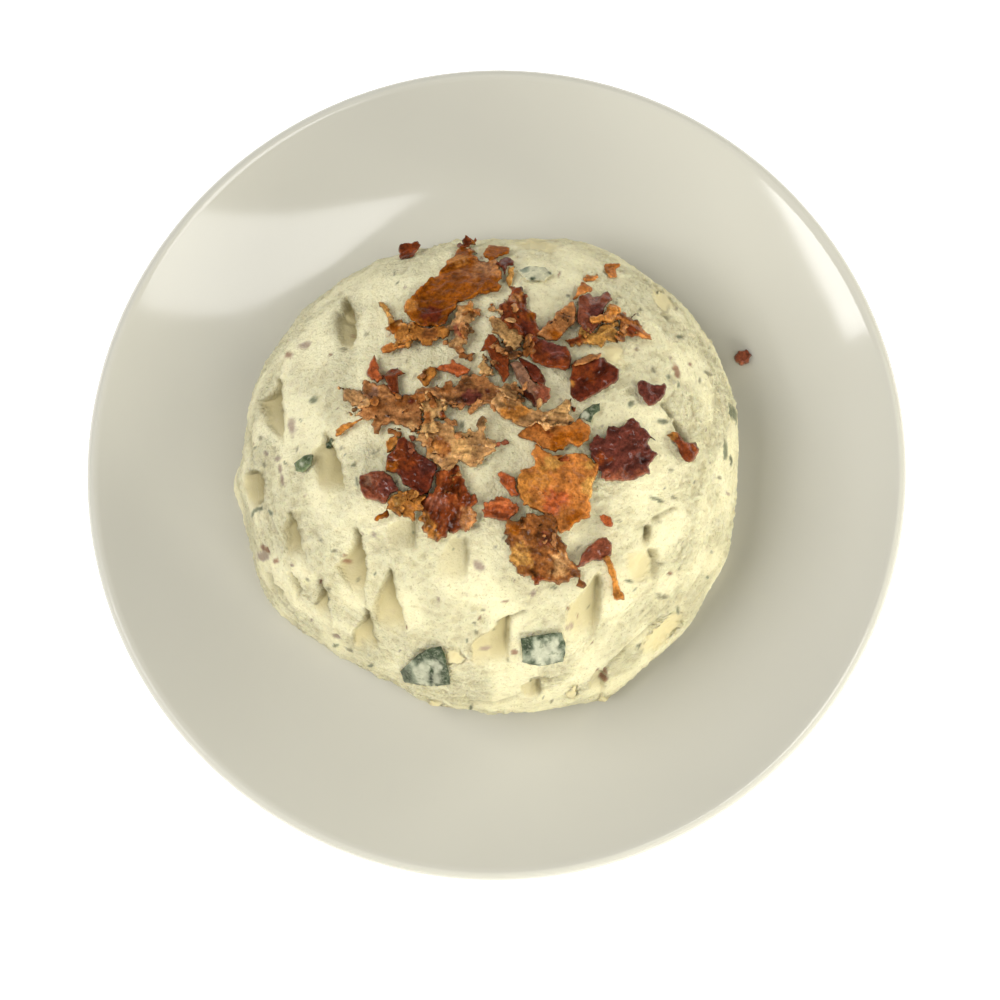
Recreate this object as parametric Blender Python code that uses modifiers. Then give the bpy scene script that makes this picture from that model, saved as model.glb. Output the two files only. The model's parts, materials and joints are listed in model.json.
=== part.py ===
"""Bacon scallion cream cheese on its plate.

A mound of whipped cream cheese, marked by the knife that shaped it, stands in a shallow coupe
plate. Chopped bacon is heaped on its crown, and slices of scallion lie on its flanks.

Sizes below are in millimetres and become metres when a mesh is made. The origin is the centre
of the plate's foot, +Z is up, and +Y is the side of the plate away from the eye.
"""
import math
import random

import bmesh
import bpy
import numpy as np
from mathutils import Vector, noise

MM = 0.001
GAP = 0.3                     # clear space between pieces that rest on each other

# Plate
PLATE_RADIUS = 102.5
PLATE_HEIGHT = 21.0
PLATE_THICKNESS = 4.5
WELL_RADIUS = 62.0            # flat floor inside the plate
WELL_HEIGHT = 7.0
WALL_POWER = 1.55             # how late the wall turns up
LIP_RADIUS = 2.1              # the rounded rim
FOOT_OUTER = 55.0
FOOT_INNER = 50.0
FOOT_RECESS = 2.5             # the underside within the foot, above the table
PLATE_STEPS = 72
WALL_STEPS = 5
LIP_STEPS = 4

# Mound of cream cheese
MOUND_CENTRE = (-1.3, -2.9)
MOUND_HEIGHT = 50.0
MOUND_POWER = 2.2             # 2 is an ellipse, more is boxier
MOUND_BASE = WELL_HEIGHT + GAP
# Reach of the mound from its centre, in equal turns anticlockwise from +X
MOUND_REACH = (62.8, 66.4, 65.3, 61.8, 63.1, 64.5, 63.2, 62.3, 57.2, 58.7, 61.1, 61.5)
TUCK = 2.0                    # how far the foot of the mound draws in
TUCK_HEIGHT = 8.0
MOUND_CELLS = 50              # cells along each side of the net that is wrapped over it
LUMP_SIZE = 13.0
LUMP_DEPTH = 0.7
STROKE_WIDTH = 9.6            # the knife's strokes run along Y, side by side
STROKE_DEPTH = 0.45
STROKE_EDGE = 12.0            # no strokes to the right of this X

# Marks where the knife lifted: apex x, apex y, length along -Y, drift of the sharp right edge
# along X, width to the left of that edge, depth
KNIFE_MARKS = (
    (-51.0, 22.5, 20.5, 1.5, 7.0, 3.2),
    (-57.5, -1.0, 12.0, 2.5, 8.0, 3.0),
    (-38.7, 3.8, 16.5, 5.3, 9.5, 4.2),
    (-47.5, -13.9, 13.5, 3.6, 6.5, 3.2),
    (-30.7, -19.7, 17.5, 1.2, 6.5, 3.6),
    (-22.8, -29.3, 16.0, 2.8, 8.0, 4.2),
    (-28.9, -38.2, 9.5, 2.3, 6.0, 3.0),
    (-40.3, -31.2, 11.0, 3.3, 5.5, 2.8),
    (-35.8, 40.2, 19.5, 4.7, 7.0, 3.4),
    (-16.6, -16.5, 10.5, 0.0, 8.5, 1.2),
    (-5.0, -21.5, 13.0, -0.2, 9.0, 1.5),
    (5.2, -39.0, 13.5, -0.3, 10.0, 1.8),
    (25.9, -29.0, 11.0, 0.0, 9.5, 2.0),
    (37.9, -17.5, 8.0, 0.2, 3.0, 1.6),
    (39.0, -23.5, 10.0, 0.5, 8.5, 1.2),
)
EDGE_SOFTNESS = 0.6           # how abruptly a mark's right edge drops

# Broad smears pressed by the back of the knife: x, y, half length, half width, turn, depth
SMEARS = (
    (10.7, 49.5, 8.5, 3.5, -20.0, 1.0),
    (-13.0, 53.0, 6.5, 2.5, 5.0, 1.0),
    (44.0, -40.0, 9.0, 3.0, 40.0, 1.2),
    (34.0, -47.0, 7.0, 2.5, 30.0, 1.2),
)
# Furrow beside the right flank's scallion: two ends, half width, depth
FURROW = ((38.7, 6.5), (45.7, -5.2), 0.9, 1.3)
# Lumps pushed out at the foot: bearing in degrees, half width in degrees, reach, height
FOOT_LUMPS = (
    (-62.0, 7.0, 2.2, 6.0),
    (-38.0, 8.0, 1.6, 8.0),
    (-104.0, 7.0, 1.5, 5.0),
    (182.0, 5.0, 2.0, 22.0),
    (212.0, 6.0, 1.4, 10.0),
    (-20.0, 7.0, 1.3, 14.0),
    (64.0, 9.0, 1.2, 16.0),
)

# Chips, lowest first: node, kind, centre x, centre y, turn in degrees, and the reach of the
# edge from the centre in equal turns anticlockwise from that turn
CHIPS = (
    ("scallion_square", "scallion", 12.5, -47.5, -8, (5.5, 5.5, 4.5, 5.5, 5.5, 5.5, 4.5, 5.5)),
    ("scallion_corner", "scallion", -15.5, -52.0, 0, (5.5, 6, 5.5, 4, 4, 5.5, 4.5, 5.5)),
    ("scallion_sliver", "scallion", 24.0, 6.0, 50, (4, 1.5, 1.5, 2, 3, 1.5, 1.5, 1.5)),
    ("scallion_frosted", "scallion", 11.0, 42.0, 0, (4, 3, 2, 3, 3.5, 3, 2, 3)),
    ("scallion_in_mark", "scallion", -44.0, -4.0, 20, (2.5, 2, 2, 2, 2.5, 2, 2, 2)),
    ("bacon_low_lobe", "streaky", -9.0, -16.0, 0,
     (6.5, 6.5, 7.5, 9, 5.5, 5.5, 6.5, 7, 8, 6, 6.5, 7.5)),
    ("bacon_low_crumble", "tan", -19.5, -15.0, 0, (4.5, 4, 3.5, 3.5, 3.5, 6, 2.5, 4)),
    ("bacon_low_finger", "amber", -24.5, -18.0, 35, (3.5, 1, 0.9, 1, 3, 1, 0.9, 1)),
    ("bacon_dark_body", "lean", -17.5, -6.5, 0,
     (6, 4, 4, 6.5, 6.5, 6, 6, 3.5, 4.5, 5.5, 7, 6.5)),
    ("bacon_nub", "lean", -25.5, -10.5, 0, (4.5, 3.5, 3, 4, 4.5, 4, 3.5, 4)),
    ("bacon_left_flake", "tan", -31.0, 10.5, 0, (2.5, 2.5, 2.5, 4, 2.5, 2, 3, 4)),
    ("bacon_left_wedge", "amber", -33.5, 4.0, 20, (3, 1, 1, 1.5, 3.5, 1.5, 1, 1.5)),
    ("bacon_left_folds", "tan", -23.0, 7.5, 0,
     (7, 4.5, 4, 5, 7.5, 7.5, 8.5, 5.5, 6, 3.5, 5.5, 9.5)),
    ("bacon_mass_low", "tan", -6.5, -1.0, 0, (7, 7, 6.5, 4.5, 7, 7.5, 7.5, 7, 7, 5.5, 6.5, 7)),
    ("bacon_mass_side", "tan", -13.5, 5.5, 0, (3, 4.5, 5, 4, 3, 2.5, 6, 3)),
    ("bacon_mass_top", "mottled", -5.0, 11.0, 0,
     (8, 6, 5, 4, 4, 5, 10.5, 5, 4, 4, 4.5, 6.5)),
    ("bacon_left_red", "lean", -27.0, 17.5, 0, (1.5, 1.5, 4, 2, 1.5, 2, 2.5, 2.5)),
    ("bacon_left_hook", "lean", -22.0, 14.5, 0, (1.5, 3, 3, 2.5, 2, 2, 4, 2)),
    ("bacon_amber_bit", "amber", -14.0, 15.5, 0, (2, 2, 2, 1.5, 1.5, 2, 2.5, 1.5)),
    ("bacon_red_strip", "lean", -8.0, 17.0, 0, (4, 2, 2.5, 2, 3.5, 1.5, 1.5, 2.5)),
    ("bacon_ragged_strip", "tan", -17.0, 26.0, 0,
     (8, 3.5, 2.5, 2.5, 2.5, 8, 5.5, 4.5, 4, 3, 2, 5.5)),
    ("bacon_spike", "amber", -24.5, 32.0, -60, (3, 0.8, 0.6, 0.8, 3.5, 0.8, 0.6, 0.8)),
    ("bacon_strip_end", "amber", -23.0, 22.5, 0, (2.5, 2.5, 2, 2, 2.5, 2, 1.2, 1.5)),
    ("bacon_crumble", "mottled", -5.5, 28.5, 0, (2, 4, 5.5, 3, 3, 3.5, 5.5, 2)),
    ("bacon_big_sheet", "amber", -8.5, 39.0, 0,
     (11, 11.5, 9.5, 10.5, 6, 6, 8.5, 13.5, 12.5, 7, 5.5, 5.5)),
    ("bacon_top_amber", "amber", 1.0, 50.0, 0, (3.5, 3, 2.5, 2.5, 3, 3, 3, 3)),
    ("bacon_top_dark", "lean", 4.5, 45.5, 0, (2, 2, 2, 2, 2.5, 2, 3, 2)),
    ("bacon_crest_tan", "tan", 5.0, 26.0, 0, (2.5, 2, 2.5, 6.5, 3, 2.5, 4, 6)),
    ("bacon_flame", "streaky", 7.0, 31.5, 0, (3.5, 3, 7, 4, 4, 3.5, 4.5, 6)),
    ("bacon_blade", "lean", 2.5, 19.5, 0, (2.5, 2.5, 4.5, 5.5, 2.5, 2, 4.5, 3.5)),
    ("bacon_arm", "amber", 17.0, 28.5, 0, (3.5, 6, 4, 3, 4.5, 6, 4, 3.5)),
    ("bacon_wedge_low", "tan", 25.0, 26.0, 10, (3.5, 4.5, 1.5, 1.5, 5, 5, 2, 2)),
    ("bacon_wedge_rag", "streaky", 32.0, 29.5, 0, (5, 2, 3, 5.5, 5, 4, 4.5, 6)),
    ("bacon_wedge_dark", "lean", 24.5, 32.5, 0, (3, 5, 4.5, 4, 3.5, 5, 5, 3)),
    ("bacon_wedge_tip", "amber", 22.5, 38.0, 0, (2, 2, 2.5, 1.5, 1.5, 3, 1.5, 1.2)),
    ("bacon_curl", "lean", 10.0, 12.0, -30, (5, 2.5, 2, 2, 5.5, 3.5, 3, 3)),
    ("bacon_ribbon", "lean", 14.5, 20.5, 0, (5, 4, 3.5, 5, 5, 4, 3, 5)),
    ("bacon_slab", "lean", 24.0, 15.0, 0, (6, 6.5, 5.5, 5, 4.5, 5.5, 4.5, 5.5, 7, 5, 4, 4.5)),
    ("bacon_heart", "lean", 38.5, 12.5, 0, (3, 2.5, 2, 3.5, 3, 2.5, 3.5, 3)),
    ("bacon_maroon", "lean", 31.5, -2.5, 0,
     (8, 8, 8, 6.5, 6.5, 7, 7.5, 6.5, 7.5, 7, 6.5, 7.5)),
    ("bacon_drop", "lean", 46.5, 0.0, 0, (3.5, 2, 1.5, 5, 3, 2, 3, 4)),
    ("bacon_big_orange", "amber", 16.5, -11.0, 0,
     (7.5, 10.5, 9, 6.5, 11, 8, 9.5, 8.5, 7, 10, 9.5, 8.5)),
    ("bacon_orange_strip", "amber", 16.5, 1.0, 0,
     (7, 6.5, 2, 2, 2.5, 4.5, 9, 4.5, 4, 4.5, 3.5, 6)),
    ("bacon_centre_rag", "tan", 10.5, 7.0, 0, (9, 2, 1.5, 6.5, 8.5, 3.5, 3, 4.5)),
    ("bacon_sliver", "lean", 4.5, -10.5, 0, (2.5, 2.5, 2.5, 3.5, 1.5, 1.5, 2.5, 2.5)),
    ("bacon_oval", "streaky", 2.5, -16.0, 0, (4.5, 2.5, 2, 2.5, 3.5, 3, 2.5, 2.5)),
    ("bacon_lowest", "mottled", 12.0, -26.0, 0,
     (7, 6.5, 7.5, 8, 8.5, 9, 7, 7, 6.5, 8, 8, 10.5)),
    ("bacon_leaf", "lean", 25.0, -25.5, 0, (3.5, 3.5, 3, 2, 3.5, 2.5, 2.5, 2)),
    ("bacon_thread", "amber", 29.5, -31.5, -65, (5.5, 1, 0.8, 1, 5.5, 1, 0.8, 1)),
    ("bacon_on_plate", "lean", 63.5, 28.5, 0, (2.2, 2, 1.7, 2, 2.3, 2, 1.8, 1.9)),
)
THICKNESS = {"amber": 1.3, "lean": 1.6, "tan": 1.9, "streaky": 1.6, "mottled": 1.8, "scallion": 0.8}
WAVE = {"amber": 1.3, "lean": 0.9, "tan": 1.6, "streaky": 1.2, "mottled": 1.4, "scallion": 0.15}
WAVE_SIZE = 7.0
RINGS_PER_REACH = 0.42        # rings in a chip for each mm of its reach, from 2 up

# Crumbs of bacon and flecks of scallion pressed into the mound: x, y, half length, half
# width, turn in degrees
CRUMBS = (
    (-21.5, 54.0, 2.8, 2.1, 20.0),
    (-7.5, 54.0, 2.0, 1.5, 10.0),
    (-49.5, 24.6, 1.4, 1.2, 0.0),
    (25.0, 42.0, 2.3, 1.0, 10.0),
    (29.5, 44.5, 1.8, 1.3, 40.0),
    (27.5, -18.2, 1.9, 1.3, -45.0),
    (3.5, -0.9, 1.7, 0.9, 20.0),
    (-37.3, 0.8, 1.7, 1.0, 60.0),
    (58.0, 12.0, 1.4, 2.6, 0.0),
    (57.0, 2.5, 1.0, 2.4, 10.0),
    (-56.5, -14.0, 1.8, 1.3, 30.0),
    (40.7, 6.5, 2.4, 1.2, -50.0),
    (39.8, -12.8, 1.5, 1.0, 0.0),
    (-41.9, 11.7, 1.4, 0.9, 0.0),
)
CRUMB_RISE = 0.45             # part of a crumb's thickness that shows

FIELD_STEP = 0.35             # spacing of the height field that chips settle on
FIELD_REACH = 80.0
SETTLE_GAP = GAP              # a chip's clearance on that field
SETTLE_SPACING = 0.6          # a chip is tested at places this far apart
SETTLE_ROUNDS = 12
FAR_BELOW = -1000.0

COLOURS = {
    "plate": (0.70, 0.67, 0.57, 1.0),
    "cheese": (0.84, 0.79, 0.52, 1.0),
    "amber": (0.40, 0.16, 0.03, 1.0),
    "lean": (0.16, 0.025, 0.018, 1.0),
    "tan": (0.42, 0.22, 0.08, 1.0),
    "streaky": (0.33, 0.09, 0.03, 1.0),
    "mottled": (0.30, 0.13, 0.04, 1.0),
    "scallion": (0.10, 0.19, 0.08, 1.0),
}
ROUGHNESS = {"plate": 0.12, "cheese": 0.75, "scallion": 0.5}
BACON_ROUGHNESS = 0.3


def smooth_step(value):
    """Ease from 0 to 1 with flat ends."""
    value = np.clip(value, 0.0, 1.0)
    return value * value * (3.0 - 2.0 * value)


def closed_spline(values, bearing):
    """Smooth closed curve through values set at equal turns, read at bearings in radians."""
    values = np.asarray(values)
    place = (bearing / (2.0 * math.pi)) % 1.0 * len(values)
    index = np.floor(place).astype(int)
    part = place - index
    before, start, end, after = (values[(index + step) % len(values)] for step in (-1, 0, 1, 2))
    return start + 0.5 * part * (
        end - before
        + part * (2 * before - 5 * start + 4 * end - after
                  + part * (3 * (start - end) + after - before)))


def smooth_noise(x, y, z, size):
    """Seedless gradient noise from -1 to 1, with bumps of the given size."""
    return np.array([noise.noise(Vector(point) / size) for point in zip(x, y, z)])


def make_material(name, colour, roughness):
    material = bpy.data.materials.new(name)
    material.use_nodes = True
    shader = material.node_tree.nodes["Principled BSDF"]
    shader.inputs["Base Color"].default_value = colour
    shader.inputs["Roughness"].default_value = roughness
    shader.inputs["Metallic"].default_value = 0.0
    return material


def new_object(name, points, faces, material, collection):
    """Mesh object from points in millimetres, faces turned outwards."""
    mesh = bpy.data.meshes.new(name)
    mesh.from_pydata([tuple(MM * value for value in point) for point in points], [], faces)
    net = bmesh.new()
    net.from_mesh(mesh)
    bmesh.ops.recalc_face_normals(net, faces=net.faces)
    net.to_mesh(mesh)
    net.free()
    mesh.materials.append(material)
    piece = bpy.data.objects.new(name, mesh)
    collection.objects.link(piece)
    return piece


def plate_top(radius):
    """Height of the plate's upper face."""
    run = np.clip((radius - WELL_RADIUS) / (PLATE_RADIUS - LIP_RADIUS - WELL_RADIUS), 0.0, 1.0)
    return WELL_HEIGHT + (PLATE_HEIGHT - WELL_HEIGHT) * run ** WALL_POWER


def plate_profile():
    """Half section of the plate, from the axis over the top, round the lip and back below."""
    wall = np.linspace(WELL_RADIUS, PLATE_RADIUS - LIP_RADIUS, WALL_STEPS + 1)
    outline = [(0.0, WELL_HEIGHT), (WELL_RADIUS - 6.0, WELL_HEIGHT)]
    outline += [(radius, float(plate_top(radius))) for radius in wall]
    lip_z = PLATE_HEIGHT - LIP_RADIUS
    for step in range(1, LIP_STEPS + 1):
        turn = math.pi * step / LIP_STEPS
        outline.append((PLATE_RADIUS - LIP_RADIUS + LIP_RADIUS * math.sin(turn),
                        lip_z + LIP_RADIUS * math.cos(turn)))
    for radius in wall[-2::-1]:
        outline.append((radius, float(plate_top(radius)) - PLATE_THICKNESS))
    outline += [(FOOT_OUTER + 1.0, FOOT_RECESS - 0.4), (FOOT_OUTER, 0.0), (FOOT_INNER, 0.0),
                (FOOT_INNER - 1.0, FOOT_RECESS), (0.0, FOOT_RECESS)]
    return outline


def make_plate(material, collection):
    outline = plate_profile()
    mesh = bpy.data.meshes.new("plate")
    edges = [(index, index + 1) for index in range(len(outline) - 1)]
    mesh.from_pydata([(radius * MM, 0.0, height * MM) for radius, height in outline], edges, [])
    mesh.materials.append(material)
    plate = bpy.data.objects.new("plate", mesh)
    collection.objects.link(plate)
    turned = plate.modifiers.new("turned", "SCREW")
    turned.steps = PLATE_STEPS
    turned.render_steps = PLATE_STEPS
    turned.use_merge_vertices = True
    turned.merge_threshold = 0.00005
    turned.use_smooth_shade = True
    return plate


def disc_net(cells):
    """Points and quads of a square net drawn out to a round one, from -1 to 1."""
    line = np.linspace(-1.0, 1.0, cells + 1)
    across, along = np.meshgrid(line, line)
    x, y = across.ravel(), along.ravel()
    wide = np.abs(x) > np.abs(y)
    reach = np.where(wide, x, y)
    with np.errstate(divide="ignore", invalid="ignore"):
        turn = np.where(wide, 0.25 * math.pi * y / x, 0.5 * math.pi - 0.25 * math.pi * x / y)
    turn = np.nan_to_num(turn)
    row = cells + 1
    quads = [(j * row + i, j * row + i + 1, (j + 1) * row + i + 1, (j + 1) * row + i)
             for j in range(cells) for i in range(cells)]
    return np.abs(reach), np.where(reach < 0, turn + math.pi, turn), quads


def mound_shell(run, bearing):
    """Bare dome: run goes from 0 at the crown to 1 at the foot. Returns points and normals."""
    reach = closed_spline(MOUND_REACH, bearing)
    slope = 0.5 * math.pi * run
    out = np.sin(slope) ** (2.0 / MOUND_POWER)
    rise = np.clip(np.cos(slope), 0.0, 1.0) ** (2.0 / MOUND_POWER)
    height = MOUND_HEIGHT * rise
    radius = reach * out - TUCK * np.clip(1.0 - height / TUCK_HEIGHT, 0.0, 1.0) ** 2
    for angle, half, push, tall in FOOT_LUMPS:
        away = (np.degrees(bearing) - angle + 180.0) % 360.0 - 180.0
        radius += push * np.exp(-(away / half) ** 2 - ((height - 0.4 * tall) / tall) ** 2)
    x = MOUND_CENTRE[0] + radius * np.cos(bearing)
    y = MOUND_CENTRE[1] + radius * np.sin(bearing)
    flat = out ** (MOUND_POWER - 1.0) / reach
    steep = rise ** (MOUND_POWER - 1.0) / MOUND_HEIGHT
    size = np.hypot(flat, steep)
    normals = np.stack([flat * np.cos(bearing) / size, flat * np.sin(bearing) / size,
                        steep / size], 1)
    return np.stack([x, y, MOUND_BASE + height], 1), normals


def knife_depth(x, y):
    """Depth cut by the knife: a sharp right edge, a gentle left side, a fading lower end."""
    depth = np.zeros_like(x)
    for apex_x, apex_y, length, drift, width, deep in KNIFE_MARKS:
        along = (apex_y - y) / length
        inside = np.clip(along, 0.0, 1.0)
        left = apex_x + drift * inside - x
        spread = width * np.maximum(inside, 0.02) ** 0.6
        side = smooth_step(left / EDGE_SOFTNESS) * (1.0 - smooth_step(left / spread))
        fade = smooth_step(along / 0.15) * (1.0 - smooth_step((along - 0.35) / 0.65))
        depth = np.maximum(depth, deep * side * fade)
    return depth


def smear_depth(x, y):
    depth = np.zeros_like(x)
    for centre_x, centre_y, long, short, turn, deep in SMEARS:
        cos, sin = math.cos(math.radians(turn)), math.sin(math.radians(turn))
        along = ((x - centre_x) * cos + (y - centre_y) * sin) / long
        across = ((y - centre_y) * cos - (x - centre_x) * sin) / short
        depth = np.maximum(depth, deep * (1.0 - smooth_step(np.hypot(along, across))))
    return depth


def furrow_depth(x, y):
    start, end, half, deep = FURROW
    line = np.array(end) - np.array(start)
    along = ((x - start[0]) * line[0] + (y - start[1]) * line[1]) / (line @ line)
    inside = np.clip(along, 0.0, 1.0)
    away = np.hypot(x - start[0] - inside * line[0], y - start[1] - inside * line[1])
    return deep * (1.0 - smooth_step(away / (2.0 * half)))


def stroke_height(x):
    """Low ridges between the knife's side by side strokes."""
    ridge = np.abs(((x / STROKE_WIDTH) % 1.0) - 0.5) * 2.0
    return STROKE_DEPTH * ridge ** 3 * (1.0 - smooth_step((x - STROKE_EDGE) / STROKE_WIDTH))


def mound_points(run, bearing):
    """Dome with its relief, moved along the dome's normals."""
    points, normals = mound_shell(run, bearing)
    x, y, z = points.T
    cut = np.maximum.reduce([knife_depth(x, y), smear_depth(x, y), furrow_depth(x, y)])
    lumps = LUMP_DEPTH * smooth_noise(x, y, z, LUMP_SIZE)
    relief = lumps + stroke_height(x) - cut
    foot = smooth_step((z - MOUND_BASE) / TUCK_HEIGHT)
    moved = points + normals * relief[:, None] * (0.3 + 0.7 * foot)[:, None]
    floor = plate_top(np.hypot(moved[:, 0], moved[:, 1])) + GAP
    moved[:, 2] = np.where(run >= 1.0, floor, np.maximum(moved[:, 2], floor))
    return moved


def make_mound(material, collection):
    run, bearing, faces = disc_net(MOUND_CELLS)
    points = mound_points(run, bearing)
    row = MOUND_CELLS + 1
    last = row * MOUND_CELLS
    rim = list(range(0, MOUND_CELLS)) + list(range(MOUND_CELLS, last + MOUND_CELLS, row))
    rim += list(range(last + MOUND_CELLS, last, -1)) + list(range(last, 0, -row))
    faces.append(tuple(rim))
    mound = new_object("cheese", points, faces, material, collection)
    split_faces(mound)
    mound.data.shade_smooth()
    return mound


def split_faces(piece):
    net = bmesh.new()
    net.from_mesh(piece.data)
    bmesh.ops.triangulate(net, faces=net.faces)
    net.to_mesh(piece.data)
    net.free()


class HeightField:
    """Highest surface laid so far over a square grid, in millimetres."""

    def __init__(self):
        self.line = np.arange(-FIELD_REACH, FIELD_REACH, FIELD_STEP)
        self.top = np.full((len(self.line), len(self.line)), FAR_BELOW)

    def index(self, place):
        return np.rint((place + FIELD_REACH) / FIELD_STEP).astype(int)

    def height_at(self, x, y):
        return self.top[self.index(y), self.index(x)]

    def cells_under(self, corners):
        """Grid cells under a triangle, with the triangle's height at each."""
        low = self.index(corners[:, :2].min(0))
        high = self.index(corners[:, :2].max(0))
        columns, rows = np.meshgrid(np.arange(low[0], high[0] + 1), np.arange(low[1], high[1] + 1))
        columns, rows = columns.ravel(), rows.ravel()
        edge_u, edge_v = corners[1] - corners[0], corners[2] - corners[0]
        area = edge_u[0] * edge_v[1] - edge_u[1] * edge_v[0]
        if abs(area) < 1e-6:
            return rows[:0], columns[:0], corners[:0, 2]
        from_x = self.line[columns] - corners[0, 0]
        from_y = self.line[rows] - corners[0, 1]
        u = (from_x * edge_v[1] - from_y * edge_v[0]) / area
        v = (from_y * edge_u[0] - from_x * edge_u[1]) / area
        inside = (u >= 0.0) & (v >= 0.0) & (u + v <= 1.0)
        height = corners[0, 2] + u * edge_u[2] + v * edge_v[2]
        return rows[inside], columns[inside], height[inside]

    def lay(self, points, triangles):
        """Raise the field to the triangles' upper side, and two cells beyond their outline."""
        layer = np.full_like(self.top, FAR_BELOW)
        for triangle in triangles:
            rows, columns, height = self.cells_under(points[list(triangle)])
            layer[rows, columns] = np.maximum(layer[rows, columns], height)
        wider = highest_nearby(layer, 2)
        self.top = np.maximum(self.top, np.where(layer > FAR_BELOW, layer, wider))

    def settle(self, points, triangles):
        """Lift points, each by its share, until no triangle is nearer than the settling gap."""
        cover = highest_nearby(self.top, 1)
        worst = 0.0
        for _ in range(SETTLE_ROUNDS):
            worst = 0.0
            for triangle in triangles:
                corner = list(triangle)
                share = triangle_shares(points[corner])
                place = share @ points[corner]
                needed = cover[self.index(place[:, 1]), self.index(place[:, 0])] + SETTLE_GAP
                short = needed - place[:, 2]
                deepest = int(np.argmax(short))
                worst = max(worst, short[deepest])
                if short[deepest] > 0.0:
                    weight = share[deepest]
                    points[corner, 2] += weight * short[deepest] / (weight @ weight)
        points[:, 2] += worst
        return points


def highest_nearby(values, reach):
    """Highest value within so many cells of each cell."""
    steps = range(-reach, reach + 1)
    return np.maximum.reduce([np.roll(values, (i, j), (0, 1)) for i in steps for j in steps])


def triangle_shares(corners):
    """Weights of the corners at an even spread of places over a triangle."""
    longest = max(np.hypot(*(corners[a, :2] - corners[b, :2])) for a, b in ((0, 1), (1, 2), (2, 0)))
    count = max(2, math.ceil(longest / SETTLE_SPACING))
    return np.array([(i, j, count - i - j) for i in range(count + 1)
                     for j in range(count + 1 - i)]) / count


def mesh_arrays(piece):
    """A mesh's points in millimetres, and its triangles that face up."""
    mesh = piece.data
    points = np.array([vertex.co for vertex in mesh.vertices]) / MM
    triangles = [tuple(face.vertices) for face in mesh.polygons if face.normal.z > 0.01]
    return points, triangles


def chip_net(reach, turn):
    """Points in plan and triangles of a chip: a centre, then rings out to its outline."""
    corners = len(reach)
    rings = max(2, round(RINGS_PER_REACH * max(reach)))
    angles = math.radians(turn) + 2.0 * math.pi * np.arange(corners) / corners
    outline = np.stack([np.cos(angles), np.sin(angles)], 1) * np.array(reach)[:, None]
    plan = [np.zeros(2)]
    for ring in range(1, rings + 1):
        plan.extend(outline * ring / rings)
    triangles = []
    for corner in range(corners):
        after = (corner + 1) % corners
        triangles.append((0, 1 + corner, 1 + after))
        for ring in range(rings - 1):
            inner, outer = 1 + ring * corners, 1 + (ring + 1) * corners
            triangles.append((inner + corner, outer + corner, outer + after))
            triangles.append((inner + corner, outer + after, inner + after))
    first_outer = 1 + (rings - 1) * corners
    return np.array(plan), triangles, list(range(first_outer, first_outer + corners))


def make_chip(name, kind, x, y, turn, reach, field, material, collection):
    """Thin wavy chip that rests on whatever lies under it, cut straight down at its edge."""
    plan, triangles, outline = chip_net(reach, turn)
    plan = plan + np.array([x, y])
    wave = 0.5 + 0.5 * smooth_noise(plan[:, 0], plan[:, 1], np.full(len(plan), x), WAVE_SIZE)
    below = np.column_stack([plan, field.height_at(plan[:, 0], plan[:, 1]) + SETTLE_GAP])
    below[:, 2] += WAVE[kind] * wave
    below = field.settle(below, triangles)
    above = below.copy()
    above[:, 2] += THICKNESS[kind] * (0.8 + 0.4 * wave[::-1])
    count = len(plan)
    faces = [(a + count, b + count, c + count) for a, b, c in triangles]
    faces += [(c, b, a) for a, b, c in triangles]
    for here, after in zip(outline, outline[1:] + outline[:1]):
        faces.append((here, after, after + count))
        faces.append((here, after + count, here + count))
    chip = new_object(name, np.vstack([below, above]), faces, material, collection)
    field.lay(above, triangles)
    return chip


def make_crumb(number, x, y, long, short, turn, field, material, collection):
    """Lump sunk into the mound with part of its thickness showing."""
    draw = random.Random(number)
    step = 1.5
    z = field.height_at(np.array([x]), np.array([y]))[0]
    lean_x = field.height_at(np.array([x + step, x - step]), np.array([y, y]))
    lean_y = field.height_at(np.array([x, x]), np.array([y + step, y - step]))
    normal = Vector((lean_x[1] - lean_x[0], lean_y[1] - lean_y[0], 2.0 * step)).normalized()
    net = bmesh.new()
    bmesh.ops.create_icosphere(net, subdivisions=2 if long > 2.0 else 1, radius=1.0)
    tall = 0.6 * short
    spin = math.radians(turn)
    side = Vector((math.cos(spin), math.sin(spin), 0.0))
    side = (side - normal * side.dot(normal)).normalized()
    other = normal.cross(side)
    centre = Vector((x, y, z)) + normal * tall * (2.0 * CRUMB_RISE - 1.0)
    for vertex in net.verts:
        local = vertex.co * draw.uniform(0.85, 1.15)
        place = centre + side * local.x * long + other * local.y * short + normal * local.z * tall
        vertex.co = place * MM
    mesh = bpy.data.meshes.new(f"crumb_{number}")
    net.to_mesh(mesh)
    net.free()
    mesh.materials.append(material)
    crumb = bpy.data.objects.new(mesh.name, mesh)
    collection.objects.link(crumb)


def fuse_crumbs(mound, field, material):
    """Join the crumbs to the mound with one union, then drop the separate crumbs."""
    crumbs = bpy.data.collections.new("crumbs")
    bpy.context.scene.collection.children.link(crumbs)
    for number, sizes in enumerate(CRUMBS):
        make_crumb(number, *sizes, field, material, crumbs)
    union = mound.modifiers.new("crumbs", "BOOLEAN")
    union.operation = "UNION"
    union.operand_type = "COLLECTION"
    union.collection = crumbs
    union.solver = "MANIFOLD"
    fused = bpy.data.meshes.new_from_object(
        mound.evaluated_get(bpy.context.evaluated_depsgraph_get()))
    mound.modifiers.remove(union)
    mound.data = fused
    mound.data.name = "cheese"
    for crumb in list(crumbs.objects):
        bpy.data.objects.remove(crumb)
    bpy.data.collections.remove(crumbs)
    split_faces(mound)


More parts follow.
